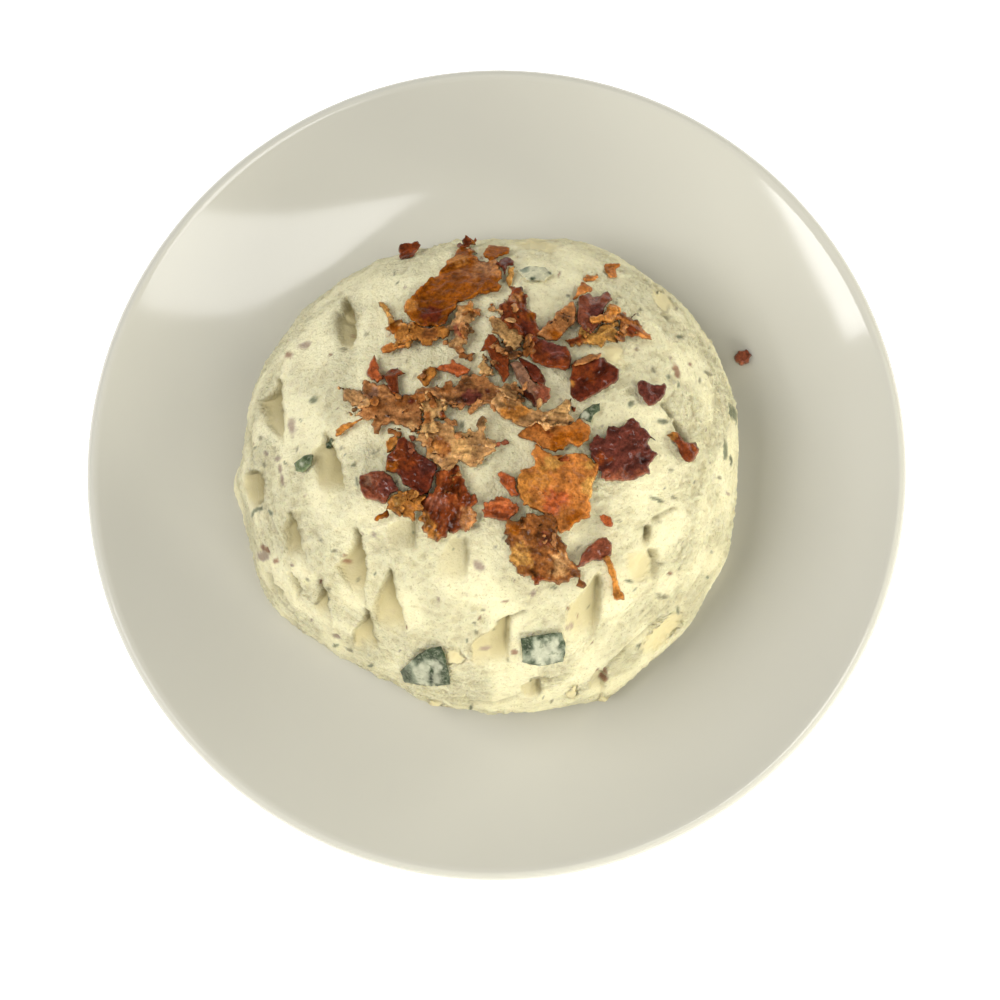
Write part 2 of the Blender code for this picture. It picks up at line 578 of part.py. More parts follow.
def build():
    for piece in list(bpy.data.objects):
        bpy.data.objects.remove(piece)
    dish = bpy.data.collections.new("bacon_scallion_cream_cheese")
    bpy.context.scene.collection.children.link(dish)
    materials = {name: make_material(name, colour, ROUGHNESS.get(name, BACON_ROUGHNESS))
                 for name, colour in COLOURS.items()}
    make_plate(materials["plate"], dish)
    mound = make_mound(materials["cheese"], dish)
    bare = HeightField()
    bare.lay(*mesh_arrays(mound))
    fuse_crumbs(mound, bare, materials["lean"])
    field = HeightField()
    field.top[:] = plate_top(np.hypot(*np.meshgrid(field.line, field.line)))
    field.lay(*mesh_arrays(mound))
    for name, kind, x, y, turn, reach in CHIPS:
        make_chip(name, kind, x, y, turn, reach, field, materials[kind], dish)


build()
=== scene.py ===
"""Looks of a mound of whipped cream cheese with bacon and scallion on its plate.

Sizes below are in millimetres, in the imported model's own frame, and become metres when a mesh is
made. Colours are linear.
"""

import json
import math

import bpy
import numpy as np
from mathutils import Matrix, Vector, geometry, noise
from mathutils.bvhtree import BVHTree


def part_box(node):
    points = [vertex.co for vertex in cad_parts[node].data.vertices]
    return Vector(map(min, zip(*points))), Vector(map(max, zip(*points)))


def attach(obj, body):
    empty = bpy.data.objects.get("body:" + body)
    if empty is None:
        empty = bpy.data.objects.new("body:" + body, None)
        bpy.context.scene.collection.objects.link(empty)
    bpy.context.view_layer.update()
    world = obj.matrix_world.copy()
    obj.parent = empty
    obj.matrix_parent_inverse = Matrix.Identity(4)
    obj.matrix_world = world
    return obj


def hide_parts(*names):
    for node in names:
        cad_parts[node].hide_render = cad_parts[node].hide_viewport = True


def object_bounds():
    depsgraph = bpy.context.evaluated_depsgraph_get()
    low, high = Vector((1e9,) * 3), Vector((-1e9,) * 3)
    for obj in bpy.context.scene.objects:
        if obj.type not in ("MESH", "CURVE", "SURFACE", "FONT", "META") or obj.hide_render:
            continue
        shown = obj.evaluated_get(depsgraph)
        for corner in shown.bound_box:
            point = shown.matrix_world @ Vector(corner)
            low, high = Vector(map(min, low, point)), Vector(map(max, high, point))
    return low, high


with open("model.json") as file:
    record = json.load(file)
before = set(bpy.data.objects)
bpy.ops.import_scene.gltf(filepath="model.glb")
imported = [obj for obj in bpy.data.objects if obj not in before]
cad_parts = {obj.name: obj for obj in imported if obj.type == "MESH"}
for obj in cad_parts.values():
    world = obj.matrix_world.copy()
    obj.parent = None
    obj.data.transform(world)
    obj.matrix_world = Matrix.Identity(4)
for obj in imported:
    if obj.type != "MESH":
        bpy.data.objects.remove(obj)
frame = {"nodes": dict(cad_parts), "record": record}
CAD_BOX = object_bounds()
NODES = frame["nodes"]
SLOTS = {row["node"]: row["material_slot"] for row in frame["record"]["subparts"]}

MM = 0.001
GAP = 0.3                     # clear space between things that rest on each other
DOWN = Vector((0.0, 0.0, -1.0))

# Camera: it looks at a point inside the plate's rim, nearly from above
CAMERA_AIM = (1.649, -9.249, 21.0)
CAMERA_DISTANCE = 500.0
CAMERA_TILT = 8.004           # degrees away from straight above
CAMERA_BEARING = -75.08       # degrees anticlockwise from +X
CAMERA_FOCAL = 2010.094       # in pixels of the photograph
PHOTO_SIZE = 1000.0           # pixels along each side of the photograph
SENSOR = 36.0                 # width of the camera's sensor in millimetres
CLIP_START = 0.01             # nearest distance that the camera shows, in metres

# Lights: name, bearing and rise of the start and of the end of the long side, width in metres,
# radiance and colour
LIGHT_DISTANCE = 1.5
PLAIN = (1.0, 1.0, 1.0)
WARM = (1.0, 0.985, 0.89)
LIGHTS = (
    ("window_front", (-22.0, 50.0), (-62.0, 80.0), 0.32, 5.0, PLAIN),
    ("window_left", (-145.0, 48.0), (-174.0, 47.0), 0.13, 9.0, PLAIN),
    ("key_left", (135.0, 42.0), (214.0, 42.0), 0.9, 4.8, PLAIN),
    ("low_right", (-28.0, 14.0), (46.0, 14.0), 0.6, 5.5, WARM),
    ("low_near", (-97.0, 14.0), (-40.0, 14.0), 0.6, 6.9, WARM),
)
WINDOWS = ("window_front", "window_left")  # the lights that the glaze mirrors
AMBIENT = 0.13                # strength of the light from all round
AMBIENT_COLOUR = (1.0, 0.99, 0.97, 1.0)
FLOOR_SIZE = 4.0              # in metres
FLOOR_COLOUR = (0.95, 0.95, 0.95, 1.0)
FLOOR_GLOW = 0.35

# Plate
PLATE_RADIUS = (CAD_BOX[1][0] - CAD_BOX[0][0]) / 2.0 / MM
PLATE_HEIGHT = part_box("plate")[1].z / MM
PLATE_THICKNESS = 4.5
WELL_RADIUS = 62.0            # of the flat middle
WELL_RINGS = (0.0, 20.0, 40.0)  # radii of the net's rings on it
WELL_BLEND = 6.0              # the wall's rings start this far inside it
WELL_HEIGHT = 7.0             # of its upper face above the table
WALL_POWER = 1.55             # a higher one keeps the wall low for longer
LIP_RADIUS = 2.1
FOOT_OUTER = 55.0             # radii of the foot ring
FOOT_INNER = 50.0
FOOT_RECESS = 2.5             # of the underside within the foot ring, above the table
FOOT_BEVEL = (0.5, 0.3)       # of the foot ring's edges, across and up
PLATE_STEPS = 256
WALL_STEPS = 40
LIP_STEPS = 18

# Mound of cream cheese
MOUND_CENTRE = (-1.3, -2.9)
MOUND_HEIGHT = 50.0
MOUND_POWER = 2.2             # 2 is a round dome, and a higher one has a fuller shoulder
MOUND_BASE = WELL_HEIGHT + GAP
# Radius of the mound's foot at equal turns, anticlockwise from +X
MOUND_REACH = (62.8, 66.4, 65.3, 61.8, 63.1, 64.5, 63.2, 62.3, 57.2, 58.7, 61.1, 61.5)
TUCK = 2.0                    # how far the foot draws in, below TUCK_HEIGHT
TUCK_HEIGHT = 8.0
MOUND_CELLS = 315             # along each side of the net
LUMP_SIZE = 13.0              # broad unevenness
LUMP_DEPTH = 0.7
STROKE_WIDTH = 9.6            # of the knife's side by side strokes
STROKE_DEPTH = 0.45
STROKE_EDGE = 12.0            # they fade out to the right of this place on the X axis
GRAIN_SIZE = 2.0              # whipped grain, largest bumps
GRAIN_DEPTH = 0.50
GRAIN_SQUASH = (1.0, 1.35, 1.0)  # its bumps lie closer along Y
CALM_SIZE = 11.0              # of the patches in which the grain is finer
CALM_SHARE = 0.6              # how much finer
STREAK_LENGTH = 7.0           # streaks left round the flank by the smoothing knife
STREAK_WIDTH = 1.5
STREAK_DEPTH = 0.50
STREAK_ROUND = 60.0           # radius of the ring on which their noise is read
STREAK_SECTOR = (-70.0, 130.0)  # bearing of their middle and half angle, in degrees

# Lumps at the mound's foot: bearing and half angle in degrees, how far they stand out and height
FOOT_LUMPS = (
    (-62.0, 7.0, 2.2, 6.0),
    (-38.0, 8.0, 1.6, 8.0),
    (-104.0, 7.0, 1.5, 5.0),
    (182.0, 5.0, 2.0, 22.0),
    (212.0, 6.0, 1.4, 10.0),
    (-20.0, 7.0, 1.3, 14.0),
    (64.0, 9.0, 1.2, 16.0),
)

# Marks where the knife lifted, in pixels of the photograph: the sharp right edge and the soft
# left one, each from the top down, the depth in millimetres and how dark its painted shade is
KNIFE_MARKS = (
    (((281, 374), (282, 385), (283, 419), (283, 442)),
     ((280, 375), (269, 392), (256, 399), (262, 424), (282, 442)), 3.4, 0.9),
    (((258, 467), (264, 485), (263, 508)), ((257, 468), (242, 475), (240, 488), (247, 505)), 2.4, 0.9),
    (((324, 428), (329, 437), (336, 453), (342, 472), (346, 486), (346, 497)),
     ((323, 429), (318, 447), (307, 457), (311, 468), (313, 480), (320, 495)), 4.0, 0.6),
    (((291, 511), (296, 525), (301, 541), (306, 560)),
     ((290, 512), (280, 533), (281, 545), (286, 562)), 3.4, 0.8),
    (((357, 527), (360, 539), (365, 557), (366, 570), (365, 601)),
     ((356, 528), (345, 550), (333, 567), (341, 583), (357, 601)), 3.8, 0.5),
    (((391, 566), (393, 580), (396, 599), (402, 611), (406, 627), (406, 638)),
     ((390, 567), (378, 588), (370, 603), (372, 620), (382, 637)), 4.2, 0.4),
    (((368, 608), (371, 621), (375, 636), (381, 651)),
     ((367, 609), (357, 624), (349, 637), (349, 651)), 3.2, 0.6),
    (((321, 579), (325, 592), (328, 604), (334, 617)),
     ((320, 580), (311, 605), (314, 617)), 3.0, 0.7),
    (((345, 294), (351, 304), (356, 314), (357, 334), (356, 357)),
     ((344, 295), (334, 313), (334, 333), (340, 350), (352, 357)), 3.2, 0.6),
    (((415, 520), (416, 536), (417, 552)), ((400, 521), (385, 530), (386, 550)), 1.0, 0.35),
    (((467, 536), (468, 556), (468, 585)), ((447, 542), (436, 556), (436, 583)), 1.0, 0.2),
    (((512, 618), (510, 634), (508, 648), (510, 666)),
     ((511, 619), (497, 624), (480, 635), (467, 646), (469, 665)), 2.2, 0.35),
    (((601, 571), (600, 590), (599, 612), (598, 640)),
     ((594, 572), (588, 584), (574, 600), (563, 615), (562, 638)), 1.9, 0.35),
    (((650, 524), (651, 538), (652, 551)), ((645, 525), (644, 538), (642, 550)), 1.6, 0.6),
    (((657, 550), (658, 566), (657, 586)), ((645, 551), (634, 562), (630, 585)), 0.9, 0.2),
    (((541, 680), (540, 690), (538, 698)), ((528, 681), (519, 690), (520, 698)), 1.6, 0.4),
    (((607, 672), (607, 684), (604, 694)), ((596, 675), (586, 684), (588, 694)), 1.2, 0.3),
)
EDGE_SOFTNESS = 2.4           # pixels over which a mark's right edge drops
FLAT_DEPTH = 2.0              # depth in millimetres from which a mark's floor is quite smooth
FLAT_SOFTNESS = 6.0           # pixels over which that floor ends on the left
EDGE_LINE = 3.8               # pixels over which the darkest painted shade, a line by the right edge, shows
SHADE_REACH = 24.0            # pixels to which the painted shade of that edge carries
DEEPEST = 1.15                # depth at the right edge, as a share of the mark's own
SHALLOWER = 0.9               # how much of that is lost on the way to the left edge
MARK_START = 0.08             # share of a mark's length in which it sets in
LEDGE = 0.5                   # low step that carries a mark's right edge onwards
LEDGE_REACH = 25.0            # pixels to which it carries to the left
SWAY = 5.0                    # most that the marks stray from their outlines, in pixels
SWAY_SIZE = 5.0
FACING = 0.2                  # marks fade where the cheese turns away from the camera

# Areas smoothed by the back of the knife, in pixels: centre, half axes, turn and depth
SMEARS = (
    (538, 245, 26, 8, 8.0, 0.8),
    (440, 243, 18, 5, -8.0, 0.8),
    (664, 300, 16, 7, 40.0, 0.4),
    (664, 632, 30, 11, -46.0, 1.0),
    (640, 566, 15, 18, 0.0, 0.3),
    (434, 703, 11, 6, 5.0, -0.9),
    (606, 701, 9, 6, -10.0, -1.0),
    (571, 693, 7, 8, 0.0, -0.8),
    (455, 655, 11, 10, 20.0, -0.7),
    (251, 576, 5, 8, -15.0, -0.8),
    (612, 356, 15, 10, 15.0, -0.6),
)

# Cracks and creases in the cheese: points in pixels, half width in pixels and depth
CRACKS = (
    (((664, 403), (669, 409), (673, 415)), 2.0, 1.2),
    (((677, 422), (681, 431), (686, 441)), 2.2, 1.6),
    (((653, 283), (661, 290)), 1.8, 1.0),
    (((651, 550), (655, 556), (661, 564)), 1.8, 1.0),
    (((336, 312), (345, 316), (354, 315)), 1.6, 0.9),
    (((268, 575), (272, 585), (280, 592)), 2.0, 1.0),
    (((290, 574), (295, 584), (299, 595)), 2.0, 1.0),
    (((281, 361), (280, 367), (281, 374)), 1.6, 0.8),
    (((292, 628), (299, 634), (306, 639)), 1.8, 0.7),
    (((284, 618), (300, 630), (325, 648)), 1.6, 0.6),
    (((524, 612), (511, 618), (497, 624)), 1.5, 0.8),
    (((659, 621), (640, 638), (617, 659), (606, 670)), 1.6, 0.7),
    (((532, 680), (541, 679), (549, 680)), 1.8, 1.0),
    (((663, 313), (668, 317)), 1.6, 0.7),
    (((674, 508), (665, 513), (655, 519)), 1.8, 0.7),
    (((420, 712), (437, 716), (470, 718)), 1.6, 0.5),
    (((517, 698), (500, 702), (470, 703)), 1.6, 0.6),
    (((247, 392), (245, 412), (250, 436), (255, 462)), 1.8, 0.7),
)
CRACK_GLOOM = 0.5             # how dark the shade painted in a crack 1 mm deep is

# Flecks of bacon and scallion under the surface: centre in pixels, half length, half width,
# clockwise turn and colour
FLECKS = (
    (292, 427, 9, 4, 80, "mauve"),
    (277, 459, 4, 3, 0, "mauve"),
    (279, 469, 6, 2, 80, "mauve"),
    (282, 480, 6, 3, 75, "mauve"),
    (289, 356, 5, 4, 20, "rust"),
    (303, 345, 7, 3, -30, "mauve"),
    (261, 438, 3, 2, 60, "dusk"),
    (266, 453, 3, 2, 60, "mauve"),
    (264, 465, 3, 2, 80, "dusk"),
    (314, 400, 5, 3, -45, "moss"),
    (273, 406, 2, 2, 0, "dusk"),
    (342, 448, 2, 2, 0, "dusk"),
    (374, 453, 3, 2, 0, "dusk"),
    (354, 465, 2, 2, 0, "moss"),
    (358, 482, 6, 2, 85, "moss"),
    (253, 513, 5, 2, -60, "moss"),
    (260, 509, 5, 2, -5, "moss"),
    (270, 512, 4, 2, 70, "moss"),
    (266, 549, 6, 3, 35, "rust"),
    (276, 561, 4, 3, -60, "rust"),
    (263, 556, 7, 6, 0, "mauve"),
    (245, 562, 7, 4, 65, "moss"),
    (329, 443, 6, 3, 60, "pine"),
    (321, 540, 2, 2, 0, "dusk"),
    (307, 580, 3, 2, 40, "dusk"),
    (329, 590, 4, 2, 60, "dusk"),
    (321, 584, 5, 3, 80, "rust"),
    (343, 563, 4, 3, 30, "rust"),
    (343, 556, 2, 2, 0, "rust"),
    (374, 535, 5, 2, 60, "mauve"),
    (336, 645, 4, 2, -20, "moss"),
    (370, 666, 4, 2, -30, "moss"),
    (338, 636, 5, 2, 30, "mauve"),
    (349, 650, 4, 2, 30, "dusk"),
    (479, 566, 7, 5, 30, "mauve"),
    (505, 602, 4, 1.6, -5, "rust"),
    (533, 593, 5, 3, -70, "mauve"),
    (554, 588, 4, 1.6, 0, "moss"),
    (568, 609, 3, 2, 30, "rust"),
    (567, 628, 3, 2, 70, "mauve"),
    (572, 627, 3, 2, 90, "mauve"),
    (486, 651, 7, 2, -5, "mauve"),
    (515, 653, 4, 3, -20, "rust"),
    (508, 662, 2, 2, 0, "dusk"),
    (450, 711, 6, 4, 35, "rust"),
    (469, 711, 7, 1.8, -60, "pine"),
    (531, 683, 2, 2, 0, "pine"),
    (414, 703, 3, 2, 30, "dusk"),
    (605, 681, 4, 3, -10, "rust"),
    (606, 673, 2, 4, 0, "rust"),
    (629, 581, 5, 1.8, 10, "pine"),
    (659, 595, 4, 2, 80, "dusk"),
    (665, 597, 3, 2, 0, "dusk"),
    (678, 611, 5, 1.5, 80, "moss"),
    (677, 369, 8, 3, 70, "rust"),
    (669, 376, 3, 2, 0, "moss"),
    (654, 369, 4, 2, 60, "dusk"),
    (680, 337, 3, 2, 20, "moss"),
    (709, 373, 4, 2, 30, "dusk"),
    (700, 379, 3, 2, 60, "dusk"),
    (679, 384, 4, 2, 80, "moss"),
    (691, 364, 2, 2, 0, "rust"),
    (672, 470, 3, 2, 0, "dusk"),
    (720, 478, 3, 2, 0, "dusk"),
    (657, 499, 7, 2, 20, "pine"),
    (732, 414, 10, 4, 75, "moss"),
    (726, 450, 11, 2, 85, "moss"),
    (731, 461, 6, 2, 85, "pine"),
    (662, 421, 8, 3, 10, "pine"),
    (630, 405, 5, 3, -50, "moss"),
    (459, 536, 2, 2, 0, "dusk"),
    (462, 426, 6, 3, 75, "pine"),
    (480, 520, 2, 2, 0, "dusk"),
    (492, 306, 3, 2, 0, "rust"),
    (367, 335, 3, 2, 0, "dusk"),
)
FLECK_COLOURS = {
    "mauve": (0.36, 0.25, 0.20),
    "rust": (0.26, 0.09, 0.05),
    "dusk": (0.22, 0.20, 0.12),
    "moss": (0.12, 0.15, 0.09),
    "pine": (0.02, 0.05, 0.02),
}
STRAY_FLECKS = 130            # small ones besides, round a centre in pixels
STRAY_COLOURS = ("mauve", "dusk", "rust", "dusk", "moss")
STRAY_CENTRE = (490, 478)
STRAY_REACH = 240
STRAY_LENGTHS = (1.3, 3.4)    # least and most half length and half width
STRAY_WIDTHS = (1.0, 1.7)
FLECK_SEED = 3

# Chips of bacon and slices of scallion. Their form by slot: thickness, fold height, fold size,
# stretch of the folds along the chip, depth of the teeth round the edge, height of the grain
CHIP_FORM = {
    "bacon_amber": (0.9, 1.0, 4.6, 1.6, 0.55, 0.12),
    "bacon_lean": (1.3, 0.9, 4.2, 1.5, 0.42, 0.13),
    "bacon_tan": (0.9, 1.0, 3.6, 2.6, 1.10, 0.24),
    "bacon_streaky": (1.2, 1.1, 2.6, 2.8, 1.10, 0.45),
    "bacon_mottled": (1.2, 1.2, 3.0, 1.6, 1.10, 0.50),
    "scallion_green": (0.7, 0.1, 4.0, 1.0, 0.20, 0.06),
}

# Depth of the fine bumps, least roughness and coat of fat
BACON_FINISH = {
    "bacon_amber": (0.30, 0.20, 0.14),
    "bacon_lean": (0.60, 0.18, 0.60),
    "bacon_tan": (0.45, 0.30, 0.35),
    "bacon_streaky": (0.50, 0.20, 0.50),
    "bacon_mottled": (0.45, 0.25, 0.40),
}

# How much the fibres along a chip show
FIBRE = {
    "bacon_amber": 0.22,
    "bacon_lean": 0.45,
    "bacon_tan": 0.8,
    "bacon_streaky": 1.1,
    "bacon_mottled": 0.8,
    "scallion_green": 0.1,
}
FIBRE_LIGHT = (1.42, 1.36, 1.25)  # a pale fibre's brightness in red, green and blue

# Width of the thin, paler edge of a chip: partly its own tone, partly painted light through it
EDGE_LIGHT = {
    "bacon_amber": 0.9,
    "bacon_lean": 0.5,
    "bacon_tan": 0.8,
    "bacon_streaky": 0.9,
    "bacon_mottled": 0.5,
    "scallion_green": 0.3,
}

CHIP_STEP = 0.37              # spacing of a chip's net
CHIP_ROUND = 0.45             # width of the rounding at a chip's edge
LARGE_CHIP = 11.0             # smaller chips have lower folds and a finer grain
BIT_DROP = 4.0                # most that one side of a small bit hangs below the other
CHIP_LIFT = 1.5               # most that a chip's edge stands off what is below it
CHIP_GAP = 0.05               # least that it stands off
CHIP_SEED = (1.7, 3.1)        # of the first chip, and the step to the next one
BIT_SEED = (200.0, 2.3)       # likewise for the small bits
FACES_UP = 0.3                # a solid's corners whose normals rise more than this are its top
HEAP_CELL = 0.35              # spacing of the heights of what is laid already
HEAP_REACH = 66.0             # the heights reach this far from the axis along X and Y
PIXELS_PER_MM = 4.3           # of the photograph, on top of the mound

# Colours of the chips
PALETTE = {
    "amber": (0.205, 0.056, 0.003),
    "honey": (0.33, 0.130, 0.024),
    "gold": (0.37, 0.185, 0.042),
    "brown": (0.195, 0.067, 0.015),
    "tan": (0.29, 0.122, 0.040),
    "pale": (0.36, 0.193, 0.074),
    "orange": (0.345, 0.122, 0.026),
    "red": (0.145, 0.0281, 0.0048),
    "bright": (0.286, 0.066, 0.017),
    "dark": (0.0945, 0.0157, 0.005),
    "maroon": (0.092, 0.0215, 0.0135),
    "rose": (0.175, 0.048, 0.022),
    "purple": (0.195, 0.098, 0.056),
    "straw": (0.44, 0.255, 0.095),
    # painted shadow: near black, for the thin sheet that stands for shade on the cheese
    "painted_shadow_black": (0.0351, 0.00468, 0.00156),
    "leaf": (0.0242, 0.0399, 0.0145),
    "moss": (0.085, 0.115, 0.045),
    "cream": (0.46, 0.44, 0.29),
    "frost": (0.367, 0.37, 0.269),
    "sage": (0.156, 0.179, 0.121),
}

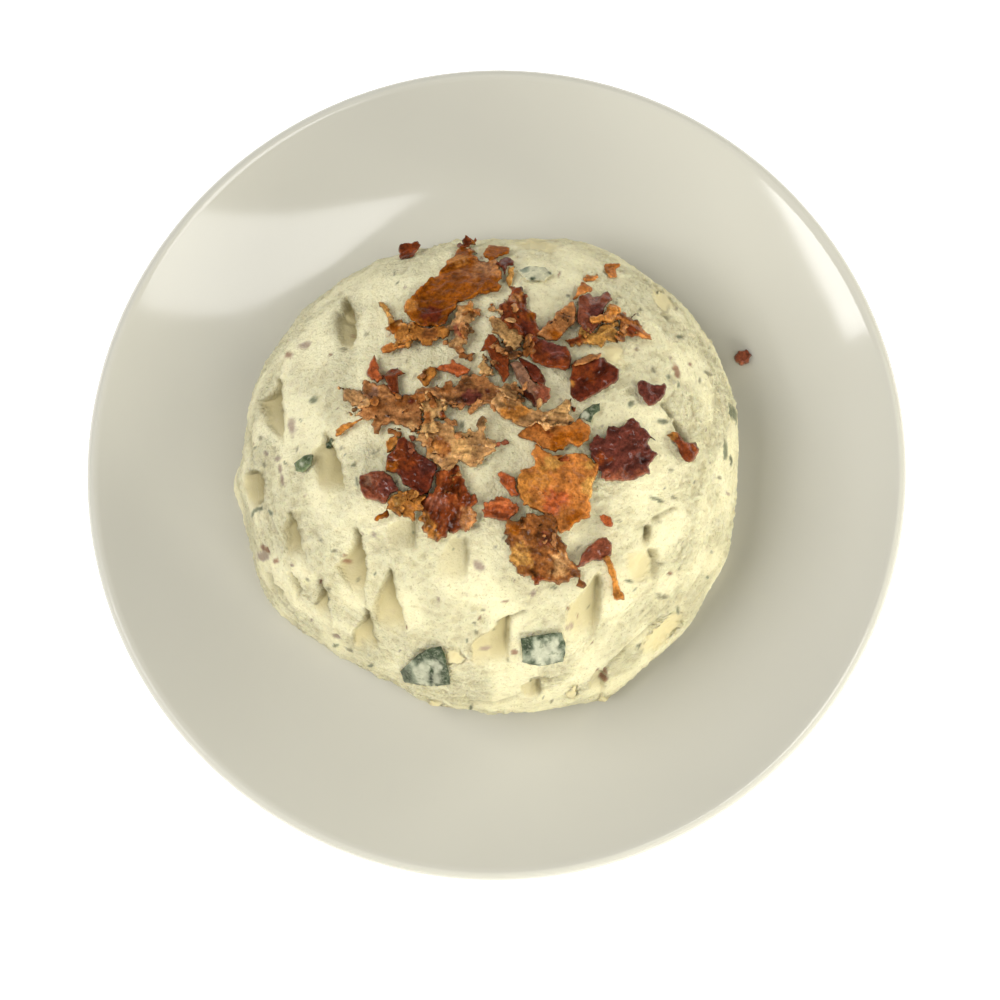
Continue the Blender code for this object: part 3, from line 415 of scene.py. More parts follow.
# Colour and outline of each chip, in pixels of the photograph
CHIPS = {
    "scallion_square": ("leaf", (
        (521, 639), (562, 632), (566, 645), (564, 662), (540, 667), (522, 663))),
    "scallion_corner": ("leaf", (
        (401, 672), (410, 662), (430, 648), (441, 647), (446, 655), (451, 685), (430, 687),
        (405, 683))),
    "scallion_sliver": ("leaf", (
        (577, 420), (582, 412), (593, 405), (600, 404), (600, 411), (593, 416), (591, 424),
        (583, 420))),
    "scallion_frosted": ("cream", (
        (517, 272), (530, 267), (545, 269), (552, 275), (545, 282), (528, 282))),
    "scallion_in_mark": ("moss", (
        (295, 464), (305, 456), (314, 456), (312, 466), (304, 474), (297, 472))),
    "bacon_low_lobe": ("red", (
        (438, 471), (450, 469), (457, 468), (464, 476), (465, 487), (469, 494), (475, 496), (476, 504),
        (477, 517), (475, 526), (468, 533), (454, 533), (449, 529), (443, 540), (432, 540), (424, 531),
        (419, 517), (420, 505), (426, 498), (433, 489), (435, 478))),
    "bacon_low_crumble": ("honey", (
        (396, 494), (401, 492), (411, 491), (422, 498), (421, 509), (417, 512), (413, 521), (407, 516),
        (400, 514), (396, 512), (387, 512), (387, 505), (393, 497))),
    "bacon_low_finger": ("amber", (
        (374, 520), (378, 516), (388, 511), (388, 517), (380, 522), (375, 522))),
    "bacon_dark_body": ("dark", (
        (399, 440), (405, 437), (413, 442), (414, 448), (417, 453), (427, 459), (436, 464), (438, 471),
        (435, 478), (433, 489), (422, 496), (415, 491), (405, 486), (400, 477), (396, 474), (386, 473),
        (385, 468), (387, 461), (393, 452))),
    "bacon_nub": ("rose", (
        (360, 476), (372, 473), (384, 473), (393, 478), (400, 488), (399, 491), (393, 495), (385, 505),
        (376, 501), (367, 500), (361, 492))),
    "bacon_left_flake": ("pale", (
        (337, 388), (346, 389), (357, 391), (366, 393), (370, 399), (367, 407), (360, 410), (354, 406),
        (349, 401), (345, 395))),
    "bacon_left_wedge": ("honey", (
        (336, 431), (341, 427), (348, 424), (357, 421), (365, 419), (354, 426), (347, 432),
        (337, 438))),
    "bacon_left_folds": ("tan", (
        (361, 383), (367, 381), (371, 386), (384, 384), (393, 392), (402, 399), (415, 396), (418, 393),
        (422, 402), (423, 413), (421, 422), (422, 431), (417, 435), (410, 431), (402, 428), (391, 425),
        (382, 426), (377, 433), (374, 428), (373, 423), (366, 420), (347, 416), (347, 413), (362, 413),
        (360, 410), (367, 406), (368, 398), (366, 393))),
    "bacon_mass_low": ("pale", (
        (437, 421), (452, 421), (457, 426), (458, 434), (465, 431), (470, 426), (476, 431), (480, 422),
        (485, 417), (488, 418), (484, 427), (484, 435), (488, 442), (493, 452), (488, 456), (480, 464),
        (474, 468), (461, 466), (452, 470), (443, 471), (437, 465), (431, 459), (424, 450), (415, 440),
        (422, 434))),
    "bacon_mass_side": ("straw", (
        (419, 392), (432, 394), (443, 399), (447, 406), (447, 418), (442, 419), (436, 420), (439, 431),
        (430, 440), (426, 442), (420, 431), (420, 413))),
    "bacon_mass_top": ("tan", (
        (410, 399), (420, 391), (429, 389), (439, 391), (449, 383), (452, 381), (454, 386), (464, 379),
        (474, 375), (487, 376), (493, 384), (505, 392), (506, 405), (500, 414), (495, 411), (487, 406),
        (475, 408), (466, 410), (455, 409), (446, 402), (436, 398), (428, 397), (418, 402))),
    "bacon_left_red": ("bright", (
        (369, 366), (375, 355), (378, 363), (380, 371), (385, 380), (378, 385), (368, 378))),
    "bacon_left_hook": ("red", (
        (382, 376), (391, 369), (398, 368), (406, 375), (399, 377), (399, 387), (400, 397), (394, 396),
        (388, 387))),
    "bacon_amber_bit": ("honey", (
        (418, 378), (423, 371), (430, 367), (437, 370), (437, 376), (431, 381), (426, 388),
        (423, 385))),
    "bacon_red_strip": ("bright", (
        (435, 369), (441, 366), (451, 365), (453, 360), (457, 365), (465, 367), (472, 370), (468, 375),
        (459, 379), (450, 375), (439, 373))),
    "bacon_ragged_strip": ("honey", (
        (386, 329), (392, 322), (400, 323), (406, 327), (415, 326), (426, 328), (439, 328), (446, 329),
        (450, 333), (449, 339), (440, 340), (431, 346), (425, 344), (418, 341), (413, 348), (408, 349),
        (402, 345), (396, 341), (391, 337))),
    "bacon_spike": ("gold", (
        (380, 304), (384, 304), (388, 309), (392, 315), (394, 323), (389, 325), (386, 315))),
    "bacon_strip_end": ("orange", (
        (380, 350), (386, 346), (392, 343), (399, 344), (406, 348), (399, 351), (392, 353),
        (383, 356))),
    "bacon_crumble": ("pale", (
        (471, 302), (476, 309), (479, 314), (474, 318), (470, 322), (469, 328), (477, 332), (474, 336),
        (470, 336), (468, 344), (462, 347), (457, 349), (451, 346), (456, 338), (450, 330), (452, 324),
        (457, 315), (459, 309))),
    "bacon_big_sheet": ("amber", (
        (461, 248), (452, 258), (446, 265), (439, 276), (431, 279), (426, 284), (419, 291), (412, 299),
        (406, 307), (405, 314), (412, 321), (418, 326), (427, 328), (437, 328), (444, 326), (450, 318),
        (456, 310), (460, 303), (468, 302), (473, 300), (477, 296), (485, 295), (490, 295), (499, 292),
        (503, 287), (498, 284), (503, 280), (499, 268), (495, 262), (487, 262), (478, 260), (474, 256),
        (471, 251))),
    "bacon_top_amber": ("amber", (
        (483, 256), (485, 250), (491, 246), (498, 247), (510, 249), (509, 255), (500, 258), (491, 261),
        (485, 259))),
    "bacon_top_dark": ("dark", (
        (496, 266), (501, 261), (509, 259), (514, 263), (514, 267), (508, 268), (506, 271), (505, 276),
        (502, 271))),
    "bacon_crest_tan": ("straw", (
        (484, 317), (490, 316), (499, 318), (510, 325), (521, 330), (524, 339), (522, 343), (520, 349),
        (514, 352), (504, 348), (502, 339), (495, 329), (490, 323))),
    "bacon_flame": ("red", (
        (510, 287), (515, 286), (522, 291), (524, 298), (526, 295), (527, 310), (533, 311), (536, 317),
        (535, 322), (538, 330), (537, 341), (531, 345), (524, 340), (514, 330), (503, 322), (497, 313),
        (500, 309), (505, 303), (509, 298))),
    "bacon_blade": ("red", (
        (488, 335), (495, 336), (500, 343), (504, 352), (510, 360), (509, 367), (511, 375), (504, 385),
        (499, 376), (495, 365), (489, 355), (486, 352), (479, 354), (484, 343))),
    "bacon_arm": ("tan", (
        (539, 331), (551, 321), (559, 313), (566, 306), (573, 303), (577, 310), (577, 322), (566, 331),
        (560, 339), (555, 343), (546, 341), (537, 335))),
    "bacon_wedge_low": ("gold", (
        (565, 342), (572, 339), (583, 329), (587, 334), (594, 334), (603, 326), (614, 324), (620, 321),
        (617, 335), (615, 344), (605, 345), (593, 346), (584, 346), (575, 348), (568, 345))),
    "bacon_wedge_rag": ("orange", (
        (603, 317), (606, 308), (615, 310), (623, 312), (629, 320), (636, 324), (643, 327), (644, 332),
        (651, 336), (650, 340), (642, 340), (631, 337), (625, 337), (619, 345), (615, 344), (618, 335),
        (620, 322), (611, 324), (605, 326))),
    "bacon_wedge_dark": ("rose", (
        (580, 299), (588, 295), (593, 298), (601, 297), (607, 293), (612, 301), (607, 306), (604, 313),
        (600, 322), (598, 329), (591, 335), (583, 331), (577, 322), (577, 311))),
    "bacon_wedge_tip": ("orange", (
        (577, 289), (582, 284), (586, 286), (592, 290), (591, 293), (586, 294), (579, 299), (573, 301),
        (576, 294))),
    "bacon_curl": ("purple", (
        (510, 364), (518, 362), (526, 370), (531, 379), (538, 386), (544, 385), (551, 389), (551, 398),
        (548, 404), (542, 407), (535, 409), (533, 402), (524, 395), (519, 384), (514, 373))),
    "bacon_ribbon": ("red", (
        (528, 339), (537, 339), (547, 341), (559, 346), (566, 347), (570, 353), (571, 360), (569, 370),
        (565, 372), (551, 369), (539, 366), (532, 363), (528, 356))),
    "bacon_slab": ("dark", (
        (571, 364), (582, 360), (593, 358), (602, 358), (607, 362), (620, 370), (619, 378), (615, 384),
        (605, 390), (594, 397), (588, 401), (580, 404), (573, 400), (570, 391), (570, 377))),
    "bacon_heart": ("maroon", (
        (637, 389), (638, 383), (643, 381), (649, 384), (655, 388), (661, 385), (665, 382), (667, 387),
        (665, 394), (660, 402), (657, 405), (651, 407), (647, 408), (642, 400), (638, 393))),
    "bacon_maroon": ("maroon", (
        (588, 444), (597, 436), (605, 440), (608, 427), (619, 429), (626, 423), (633, 418), (639, 423),
        (641, 429), (648, 433), (656, 442), (650, 439), (648, 444), (651, 452), (657, 455), (654, 461),
        (650, 466), (650, 474), (636, 480), (622, 483), (606, 483), (601, 479), (601, 473), (597, 470),
        (592, 458))),
    "bacon_drop": ("red", (
        (666, 435), (672, 432), (680, 436), (686, 443), (695, 443), (699, 451), (698, 458), (689, 465),
        (683, 461), (679, 451), (673, 442))),
    "bacon_big_orange": ("orange", (
        (517, 479), (520, 471), (534, 468), (534, 461), (530, 455), (537, 445), (545, 451), (554, 458),
        (560, 457), (570, 454), (584, 454), (591, 461), (598, 464), (594, 488), (591, 501), (591, 517),
        (578, 524), (569, 532), (560, 533), (554, 520), (545, 516), (537, 510), (523, 505),
        (516, 488))),
    "bacon_orange_strip": ("orange", (
        (517, 436), (526, 429), (537, 424), (548, 422), (569, 427), (578, 421), (586, 424), (592, 429),
        (589, 438), (586, 444), (578, 450), (570, 444), (563, 452), (554, 455), (544, 450), (534, 442),
        (523, 439))),
    "bacon_centre_rag": ("pale", (
        (489, 404), (494, 398), (503, 394), (513, 397), (521, 402), (530, 408), (545, 411), (556, 409),
        (566, 400), (571, 399), (572, 409), (574, 415), (572, 422), (566, 426), (556, 424), (548, 428),
        (537, 425), (524, 427), (513, 423), (503, 420), (497, 412))),
    "bacon_sliver": ("bright", (
        (496, 473), (501, 471), (517, 479), (516, 488), (519, 495), (512, 499), (506, 491))),
    "bacon_oval": ("bright", (
        (481, 510), (487, 502), (497, 499), (510, 501), (519, 508), (518, 517), (509, 519), (495, 521),
        (487, 517))),
    "bacon_lowest": ("brown", (
        (504, 526), (513, 520), (526, 514), (539, 514), (551, 515), (557, 526), (560, 536), (566, 548),
        (570, 557), (576, 568), (582, 580), (584, 587), (581, 586), (576, 577), (563, 582), (548, 584),
        (539, 587), (532, 580), (519, 574), (510, 561), (509, 543))),
    "bacon_leaf": ("rose", (
        (576, 567), (586, 549), (597, 539), (606, 537), (613, 547), (608, 558), (604, 560), (592, 562),
        (584, 568))),
    "bacon_thread": ("honey", (
        (604, 560), (609, 558), (616, 571), (619, 586), (625, 601), (623, 602), (614, 599),
        (611, 580))),
    "bacon_on_plate": ("rose", (
        (734, 358), (738, 352), (746, 351), (751, 357), (749, 364), (740, 367), (735, 364))),
}

# Bits too small for a solid of their own: slot, colour and outline, lowest first
BITS = (
    ("bacon_lean", "red", (
        (398, 252), (401, 246), (409, 244), (418, 242), (420, 246), (419, 252), (415, 256), (409, 259),
        (401, 259))),
    ("bacon_streaky", "red", (
        (464, 237), (471, 237), (472, 241), (476, 239), (474, 244), (471, 247), (466, 250), (462, 248),
        (457, 245), (464, 244))),
    ("bacon_amber", "gold", (
        (508, 268), (514, 267), (514, 276), (511, 284), (509, 289), (507, 285), (508, 276))),
    ("bacon_amber", "orange", (
        (582, 278), (587, 275), (594, 275), (597, 272), (601, 279), (596, 281), (586, 282))),
    ("bacon_amber", "orange", (
        (605, 270), (606, 265), (612, 264), (620, 265), (614, 270), (618, 278), (610, 279))),
    ("bacon_lean", "dark", (
        (519, 359), (526, 361), (535, 367), (543, 376), (545, 386), (542, 388), (537, 385), (530, 378),
        (527, 370), (521, 364))),
    # painted shadow: a thin dark sheet where the cheese lies in shade below the dark bit above
    ("bacon_lean", "painted_shadow_black", (
        (519, 386), (526, 391), (535, 398), (537, 408), (532, 407), (526, 398), (519, 392))),
    ("bacon_tan", "straw", (
        (482, 355), (485, 354), (490, 364), (495, 374), (489, 377), (480, 376), (478, 366))),
    ("bacon_tan", "pale", (
        (496, 388), (506, 383), (514, 386), (518, 395), (510, 400), (502, 397))),
    ("bacon_streaky", "brown", (
        (460, 352), (468, 352), (478, 354), (474, 360), (466, 362), (461, 357))),
    ("bacon_tan", "rose", (
        (494, 445), (501, 439), (508, 440), (509, 444), (503, 445), (496, 448))),
    ("bacon_lean", "red", (
        (558, 460), (566, 455), (570, 458), (572, 463), (563, 462))),
    ("bacon_amber", "tan", (
        (571, 366), (583, 358), (593, 354), (601, 353), (602, 358), (590, 361), (575, 368))),
    ("bacon_lean", "bright", (
        (598, 515), (603, 514), (610, 517), (613, 524), (611, 527), (604, 525), (600, 521))),
    ("bacon_amber", "honey", (
        (387, 442), (396, 435), (399, 441), (393, 450), (388, 453))),
    ("bacon_lean", "red", (
        (571, 407), (576, 408), (576, 412), (573, 413))),
    ("bacon_tan", "brown", (
        (490, 305), (494, 304), (495, 308), (491, 309))),
    ("bacon_streaky", "brown", (
        (524, 345), (532, 344), (536, 352), (530, 358), (523, 354))),
    ("bacon_tan", "tan", (
        (501, 351), (511, 350), (521, 354), (517, 361), (509, 359))),
    ("scallion_green", "leaf", (
        (326, 443), (331, 437), (334, 441), (331, 449), (326, 449))),
)

# Tatters and crumbs: centre and radius of each cluster in pixels, their number, slot and colour
SCRAPS = (
    (460, 338, 16, 5, "bacon_tan", "tan"),
    (472, 322, 14, 3, "bacon_tan", "brown"),
    (498, 345, 18, 5, "bacon_tan", "tan"),
    (508, 312, 12, 3, "bacon_tan", "pale"),
    (485, 365, 14, 4, "bacon_tan", "tan"),
    (522, 352, 12, 3, "bacon_streaky", "brown"),
    (410, 340, 22, 5, "bacon_tan", "honey"),
    (395, 412, 24, 5, "bacon_tan", "brown"),
    (360, 400, 16, 4, "bacon_tan", "pale"),
    (430, 410, 18, 3, "bacon_tan", "pale"),
    (440, 440, 22, 4, "bacon_tan", "tan"),
    (478, 448, 16, 3, "bacon_tan", "pale"),
    (430, 396, 30, 5, "bacon_tan", "brown"),
    (410, 420, 24, 4, "bacon_streaky", "brown"),
    (450, 490, 20, 3, "bacon_streaky", "brown"),
    (470, 385, 24, 4, "bacon_tan", "tan"),
    (525, 400, 18, 3, "bacon_tan", "tan"),
    (552, 416, 18, 3, "bacon_tan", "pale"),
    (604, 330, 24, 5, "bacon_streaky", "honey"),
    (632, 326, 14, 3, "bacon_tan", "tan"),
    (560, 325, 12, 4, "bacon_streaky", "brown"),
    (518, 305, 10, 3, "bacon_streaky", "tan"),
    (530, 522, 14, 3, "bacon_mottled", "brown"),
    (550, 545, 16, 4, "bacon_mottled", "tan"),
    (404, 502, 14, 4, "bacon_tan", "honey"),
    (420, 448, 12, 3, "bacon_tan", "rose"),
    (470, 244, 9, 3, "bacon_streaky", "amber"),
)
SCRAP_LENGTHS = (3.0, 9.0)    # least and most half length, in pixels
SCRAP_WIDTHS = (0.18, 0.5)    # least and most width as a share of the length
SCRAP_CORNERS = 7
SCRAP_SEED = 5
SCRAP_SEEDS = (300.0, 900.0)  # from which each scrap's own is drawn

# Patches of another colour on each chip: colour, centre and radius in pixels
PATCHES = {
    "scallion_square": (
        ("sage", 546, 652, 19), ("frost", 545, 652, 12), ("frost", 553, 646, 7)),
    "scallion_corner": (
        ("sage", 418, 674, 14), ("frost", 423, 674, 9), ("frost", 437, 668, 6), ("frost", 437, 679, 6)),
    "scallion_sliver": (("frost", 586, 416, 4),),
    "scallion_frosted": (
        ("sage", 524, 270, 5), ("leaf", 536, 266, 3), ("leaf", 549, 274, 4), ("leaf", 533, 280, 3)),
    "scallion_in_mark": (
        ("leaf", 309, 459, 4), ("frost", 303, 465, 2)),
    "bacon_big_sheet": (
        ("honey", 412, 308, 9), ("tan", 484, 270, 14), ("honey", 460, 262, 9), ("dark", 435, 316, 14)),
    "bacon_ragged_strip": (
        ("amber", 394, 330, 7), ("brown", 428, 335, 9)),
    "bacon_crumble": (
        ("honey", 472, 312, 7), ("rose", 460, 333, 7)),
    "bacon_flame": (
        ("tan", 516, 300, 5), ("honey", 522, 296, 4), ("amber", 532, 318, 5), ("dark", 527, 334, 9)),
    "bacon_crest_tan": (("pale", 496, 324, 6),),
    "bacon_arm": (
        ("tan", 566, 314, 8), ("amber", 556, 338, 6)),
    "bacon_wedge_dark": (("maroon", 597, 315, 9),),
    "bacon_wedge_low": (("red", 573, 343, 9),),
    "bacon_wedge_rag": (
        ("amber", 612, 316, 8), ("tan", 620, 316, 4), ("red", 634, 333, 7)),
    "bacon_ribbon": (("maroon", 552, 348, 12),),
    "bacon_curl": (("rose", 545, 398, 9),),
    "bacon_slab": (
        ("red", 580, 370, 12), ("honey", 571, 385, 3)),
    "bacon_maroon": (
        ("rose", 622, 480, 8), ("rose", 607, 480, 7), ("rose", 640, 477, 7), ("red", 600, 460, 8)),
    "bacon_drop": (("honey", 671, 436, 7),),
    "bacon_mass_top": (
        ("maroon", 466, 397, 11), ("maroon", 478, 399, 6), ("brown", 415, 398, 8),
        ("brown", 445, 390, 8), ("dark", 487, 393, 4)),
    "bacon_mass_low": (
        ("straw", 462, 444, 12), ("brown", 441, 449, 9), ("honey", 432, 452, 6)),
    "bacon_mass_side": (
        ("red", 444, 415, 4), ("brown", 424, 420, 6)),
    "bacon_left_folds": (
        ("purple", 373, 396, 7), ("brown", 380, 408, 6), ("brown", 405, 400, 9), ("dark", 413, 403, 5),
        ("straw", 356, 414, 5), ("pale", 412, 424, 6)),
    "bacon_dark_body": (
        ("red", 402, 458, 12), ("amber", 391, 466, 6), ("maroon", 430, 467, 7)),
    "bacon_low_lobe": (
        ("tan", 469, 520, 10), ("honey", 434, 534, 9), ("honey", 424, 519, 6), ("rose", 438, 505, 9)),
    "bacon_low_crumble": (("gold", 398, 504, 6),),
    "bacon_nub": (
        ("maroon", 390, 490, 9), ("purple", 368, 482, 6)),
    "bacon_centre_rag": (
        ("honey", 515, 415, 12), ("straw", 560, 412, 10)),
    "bacon_orange_strip": (
        ("amber", 560, 445, 9), ("amber", 580, 436, 9), ("red", 548, 436, 5)),
    "bacon_big_orange": (
        ("honey", 525, 484, 11), ("gold", 594, 487, 10), ("honey", 541, 478, 9), ("gold", 589, 466, 8),
        ("bright", 556, 506, 11), ("gold", 552, 462, 8), ("amber", 574, 520, 9),
        ("honey", 530, 500, 8)),
    "bacon_oval": (("bright", 497, 505, 5),),
    "bacon_lowest": (
        ("gold", 519, 557, 11), ("pale", 561, 568, 10), ("amber", 514, 530, 6), ("rose", 545, 540, 7),
        ("red", 540, 583, 6)),
}


def smooth_step(value):
    """Ease from 0 to 1 with flat ends."""
    value = np.clip(value, 0.0, 1.0)
    return value * value * (3.0 - 2.0 * value)


def closed_spline(values, bearing):
    """Smooth closed curve through values set at equal turns, read at bearings in radians."""
    values = np.asarray(values)
    place = (bearing / (2.0 * math.pi)) % 1.0 * len(values)
    index = np.floor(place).astype(int)
    part = place - index
    before, start, end, after = (values[(index + step) % len(values)] for step in (-1, 0, 1, 2))
    return start + 0.5 * part * (
        end - before
        + part * (2 * before - 5 * start + 4 * end - after
                  + part * (3 * (start - end) + after - before)))


def smooth_noise(points, size, offset=0.0):
    """Seedless gradient noise from -1 to 1, with bumps of the given size."""
    shift = Vector((offset, 0.37 * offset, -0.61 * offset))
    return np.array([noise.noise(Vector(point) / size + shift) for point in points])


def rough_noise(points, size, octaves, offset=0.0):
    """Several sizes of noise together, from -1 to 1."""
    shift = Vector((offset, 0.37 * offset, -0.61 * offset))
    return np.array([noise.fractal(Vector(point) / size + shift, 1.0, 2.0, octaves)
                     for point in points])


def set_piece(name, points, faces, material, nodes=()):
    """Smooth mesh from points in millimetres, riding on the model's one body."""
    mesh = bpy.data.meshes.new(name)
    mesh.from_pydata((np.asarray(points) * MM).tolist(), [], faces)
    mesh.materials.append(material)
    mesh.shade_smooth()
    piece = bpy.data.objects.new(name, mesh)
    bpy.context.scene.collection.objects.link(piece)
    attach(piece, "root")
    if nodes:
        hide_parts(*nodes)
    return piece


def paint(piece, name, values):
    """Store a number, a colour or, for the flow, a place at each point of a piece."""
    values = np.asarray(values, dtype=np.float32)
    if values.ndim == 1:
        layer = piece.data.attributes.new(name, "FLOAT", "POINT")
        layer.data.foreach_set("value", values)
        return
    if name == "flow":
        layer = piece.data.attributes.new(name, "FLOAT_VECTOR", "POINT")
        layer.data.foreach_set("vector", values.ravel())
        return
    layer = piece.data.color_attributes.new(name, "FLOAT_COLOR", "POINT")
    layer.data.foreach_set("color", np.column_stack([values, np.ones(len(values))]).ravel())


class Shader:
    """Short way to write a material's nodes."""

    def __init__(self, name):
        self.material = bpy.data.materials.new(name)
        self.material.use_nodes = True
        self.tree = self.material.node_tree
        self.surface = self.tree.nodes["Principled BSDF"]
        self.place = self.add("ShaderNodeTexCoord").outputs["Object"]

    def add(self, kind, **settings):
        node = self.tree.nodes.new(kind)
        for key, value in settings.items():
            setattr(node, key, value)
        return node

    def join(self, output, socket):
        self.tree.links.new(output, socket)

    def constants(self, **values):
        for key, value in values.items():
            self.surface.inputs[key.replace("_", " ")].default_value = value

    def stored(self, name):
        return self.add("ShaderNodeAttribute", attribute_name=name)

    def noise(self, size, detail=2.0, lean=0.5):
        """Noise with bumps of a size in millimetres."""
        return self.noise_at(self.place, size * MM, detail, lean)

    def noise_at(self, place, size, detail, lean):
        texture = self.add("ShaderNodeTexNoise")
        texture.inputs["Scale"].default_value = 1.0 / size
        texture.inputs["Detail"].default_value = detail
        texture.inputs["Roughness"].default_value = lean
        self.join(place, texture.inputs["Vector"])
        return texture.outputs["Fac"]

    def ramp(self, value, low, high):
        """0 at low and 1 at high, eased between; low may be above high."""
        node = self.add("ShaderNodeMapRange", interpolation_type="SMOOTHSTEP")
        node.inputs["From Min"].default_value = low
        node.inputs["From Max"].default_value = high
        self.join(value, node.inputs["Value"])
        return node.outputs["Result"]

    def between(self, value, low, high):
        """Straight change from low to high as value goes from 0 to 1."""
        node = self.add("ShaderNodeMapRange")
        node.inputs["To Min"].default_value = low
        node.inputs["To Max"].default_value = high
        self.join(value, node.inputs["Value"])
        return node.outputs["Result"]

    def maths(self, operation, first, second):
        node = self.add("ShaderNodeMath", operation=operation)
        for socket, value in zip(node.inputs, (first, second)):
            if isinstance(value, float):
                socket.default_value = value
            else:
                self.join(value, socket)
        return node.outputs["Value"]

    def mix(self, share, first, second, blend="MIX"):
        node = self.add("ShaderNodeMix", data_type="RGBA", blend_type=blend)
        for socket, value in ((node.inputs["Factor"], share), (node.inputs["A"], first),
                              (node.inputs["B"], second)):
            if isinstance(value, tuple):
                socket.default_value = (*value, 1.0)
            elif isinstance(value, float):
                socket.default_value = value
            else:
                self.join(value, socket)
        return node.outputs["Result"]

    def bump(self, height, depth, normal=None):
        """Bump of a height that goes from 0 to 1, with a depth in millimetres."""
        node = self.add("ShaderNodeBump")
        node.inputs["Strength"].default_value = 1.0
        node.inputs["Distance"].default_value = depth * MM
        self.join(height, node.inputs["Height"])
        if normal:
            self.join(normal, node.inputs["Normal"])
        return node.outputs["Normal"]

    def finish(self, colour, roughness, normal):
        self.join(colour, self.surface.inputs["Base Color"])
        self.join(roughness, self.surface.inputs["Roughness"])
        self.join(normal, self.surface.inputs["Normal"])
        return self.material


def glaze_material():
    shader = Shader("plate_glaze")
    colour = shader.mix(shader.noise(45.0), (0.555, 0.538, 0.463), (0.595, 0.58, 0.505))
    roughness = shader.between(shader.noise(12.0), 0.06, 0.11)
    normal = shader.bump(shader.noise(26.0, 1.0), 0.05)
    shader.constants(Coat_Weight=0.0, IOR=1.5)
    return shader.finish(colour, roughness, normal)


def cheese_material():
    shader = Shader("cream_cheese")
    pressed, calm, grain_valley_shade, dark, streak, flecked = (
        shader.stored(name).outputs["Fac"]
        for name in ("pressed", "calm", "grain_valley_shade", "dark", "streak", "flecked"))
    flow = shader.stored("flow").outputs["Vector"]
    whipped = shader.mix(shader.noise(9.0, 3.0), (0.895, 0.825, 0.525), (0.925, 0.87, 0.585))
    # painted shade in the valleys of the whipped grain
    whipped = shader.mix(shader.maths("MULTIPLY", grain_valley_shade, 0.50), whipped, (0.66, 0.58, 0.33))
    # painted shade of small pits in the whipped surface, as random dark specks
    pits = shader.ramp(shader.noise(0.62, 5.0, lean=0.7), 0.33, 0.46)
    shade = shader.mix(pits, (0.74, 0.71, 0.62), (1.02, 1.02, 1.02))
    whipped = shader.mix(1.0, whipped, shade, "MULTIPLY")
    smooth = shader.mix(shader.noise(6.0), (0.65, 0.56, 0.30), (0.72, 0.635, 0.365))
    colour = shader.mix(pressed, whipped, smooth)
    # painted shade along the knife marks' right edges and in the cracks
    colour = shader.mix(shader.maths("MULTIPLY", dark, 0.97), colour, (0.22, 0.175, 0.065))
    blush = shader.maths("MULTIPLY", shader.ramp(shader.noise(2.6, 4.0), 0.60, 0.68), 0.14)
    colour = shader.mix(blush, colour, (0.50, 0.38, 0.27))
    share = shader.maths("MULTIPLY", flecked, 0.8)
    colour = shader.mix(share, colour, shader.stored("fleck").outputs["Color"])
    roughness = shader.between(pressed, 0.55, 0.38)
    rough = shader.maths("SUBTRACT", 1.0, shader.maths("MULTIPLY", pressed, 0.85))
    rough = shader.maths("MULTIPLY", rough, shader.between(calm, 1.25, 0.6))
    streaks = shader.maths("MULTIPLY", shader.noise_at(flow, 1.0, 4.0, 0.65),
                           shader.maths("MULTIPLY", rough, streak))
    normal = shader.bump(streaks, 1.7)
    fine = shader.maths("MULTIPLY", shader.noise(0.85, 5.0, lean=0.65), rough)
    normal = shader.bump(fine, 1.3, normal)
    shader.constants(Subsurface_Weight=0.2, Subsurface_Scale=0.002, Specular_IOR_Level=0.35)
    shader.surface.inputs["Subsurface Radius"].default_value = (1.0, 0.8, 0.4)
    return shader.finish(colour, roughness, normal)


def bacon_material(slot):
    depth, gloss, coat = BACON_FINISH[slot]
    shader = Shader(slot)
    tint = shader.stored("tint").outputs["Color"]
    mottle = shader.ramp(shader.noise(1.0, 5.0, lean=0.65), 0.32, 0.70)
    colour = shader.mix(mottle, (0.62, 0.58, 0.52), (1.45, 1.42, 1.40))
    colour = shader.mix(1.0, tint, colour, "MULTIPLY")
    pores = shader.ramp(shader.noise(0.55, 3.0, lean=0.6), 0.60, 0.70)
    colour = shader.mix(shader.maths("MULTIPLY", pores, 0.7), colour, (0.07, 0.018, 0.006))
    roughness = shader.between(shader.noise(1.5), gloss, gloss + 0.25)
    normal = shader.bump(shader.noise(1.1, 4.0, lean=0.6), depth)
    normal = shader.bump(shader.noise(0.40, 2.0), 0.35 * depth, normal)
    shader.constants(Subsurface_Weight=0.10, Subsurface_Scale=0.001, Specular_IOR_Level=0.06,
                     Coat_Weight=coat, Coat_Roughness=0.07)
    shader.surface.inputs["Subsurface Radius"].default_value = (1.0, 0.35, 0.12)
    return shader.finish(colour, roughness, normal)


def scallion_material():
    shader = Shader("scallion_green")
    tint = shader.stored("tint").outputs["Color"]
    specks = shader.ramp(shader.noise(0.75, 4.0, lean=0.7), 0.47, 0.62)
    colour = shader.mix(shader.maths("MULTIPLY", specks, 0.45), tint, (0.33, 0.345, 0.24))
    veins = shader.ramp(shader.noise(1.3, 4.0, lean=0.6), 0.54, 0.64)
    colour = shader.mix(shader.maths("MULTIPLY", veins, 0.5), colour, (0.10, 0.13, 0.07))
    roughness = shader.between(shader.noise(2.0), 0.35, 0.6)
    normal = shader.bump(shader.noise(0.8, 3.0), 0.15)
    return shader.finish(colour, roughness, normal)


def plate_top(radius):
    """Height of the plate's upper face."""
    run = np.clip((radius - WELL_RADIUS) / (PLATE_RADIUS - LIP_RADIUS - WELL_RADIUS), 0.0, 1.0)
    return WELL_HEIGHT + (PLATE_HEIGHT - WELL_HEIGHT) * run ** WALL_POWER


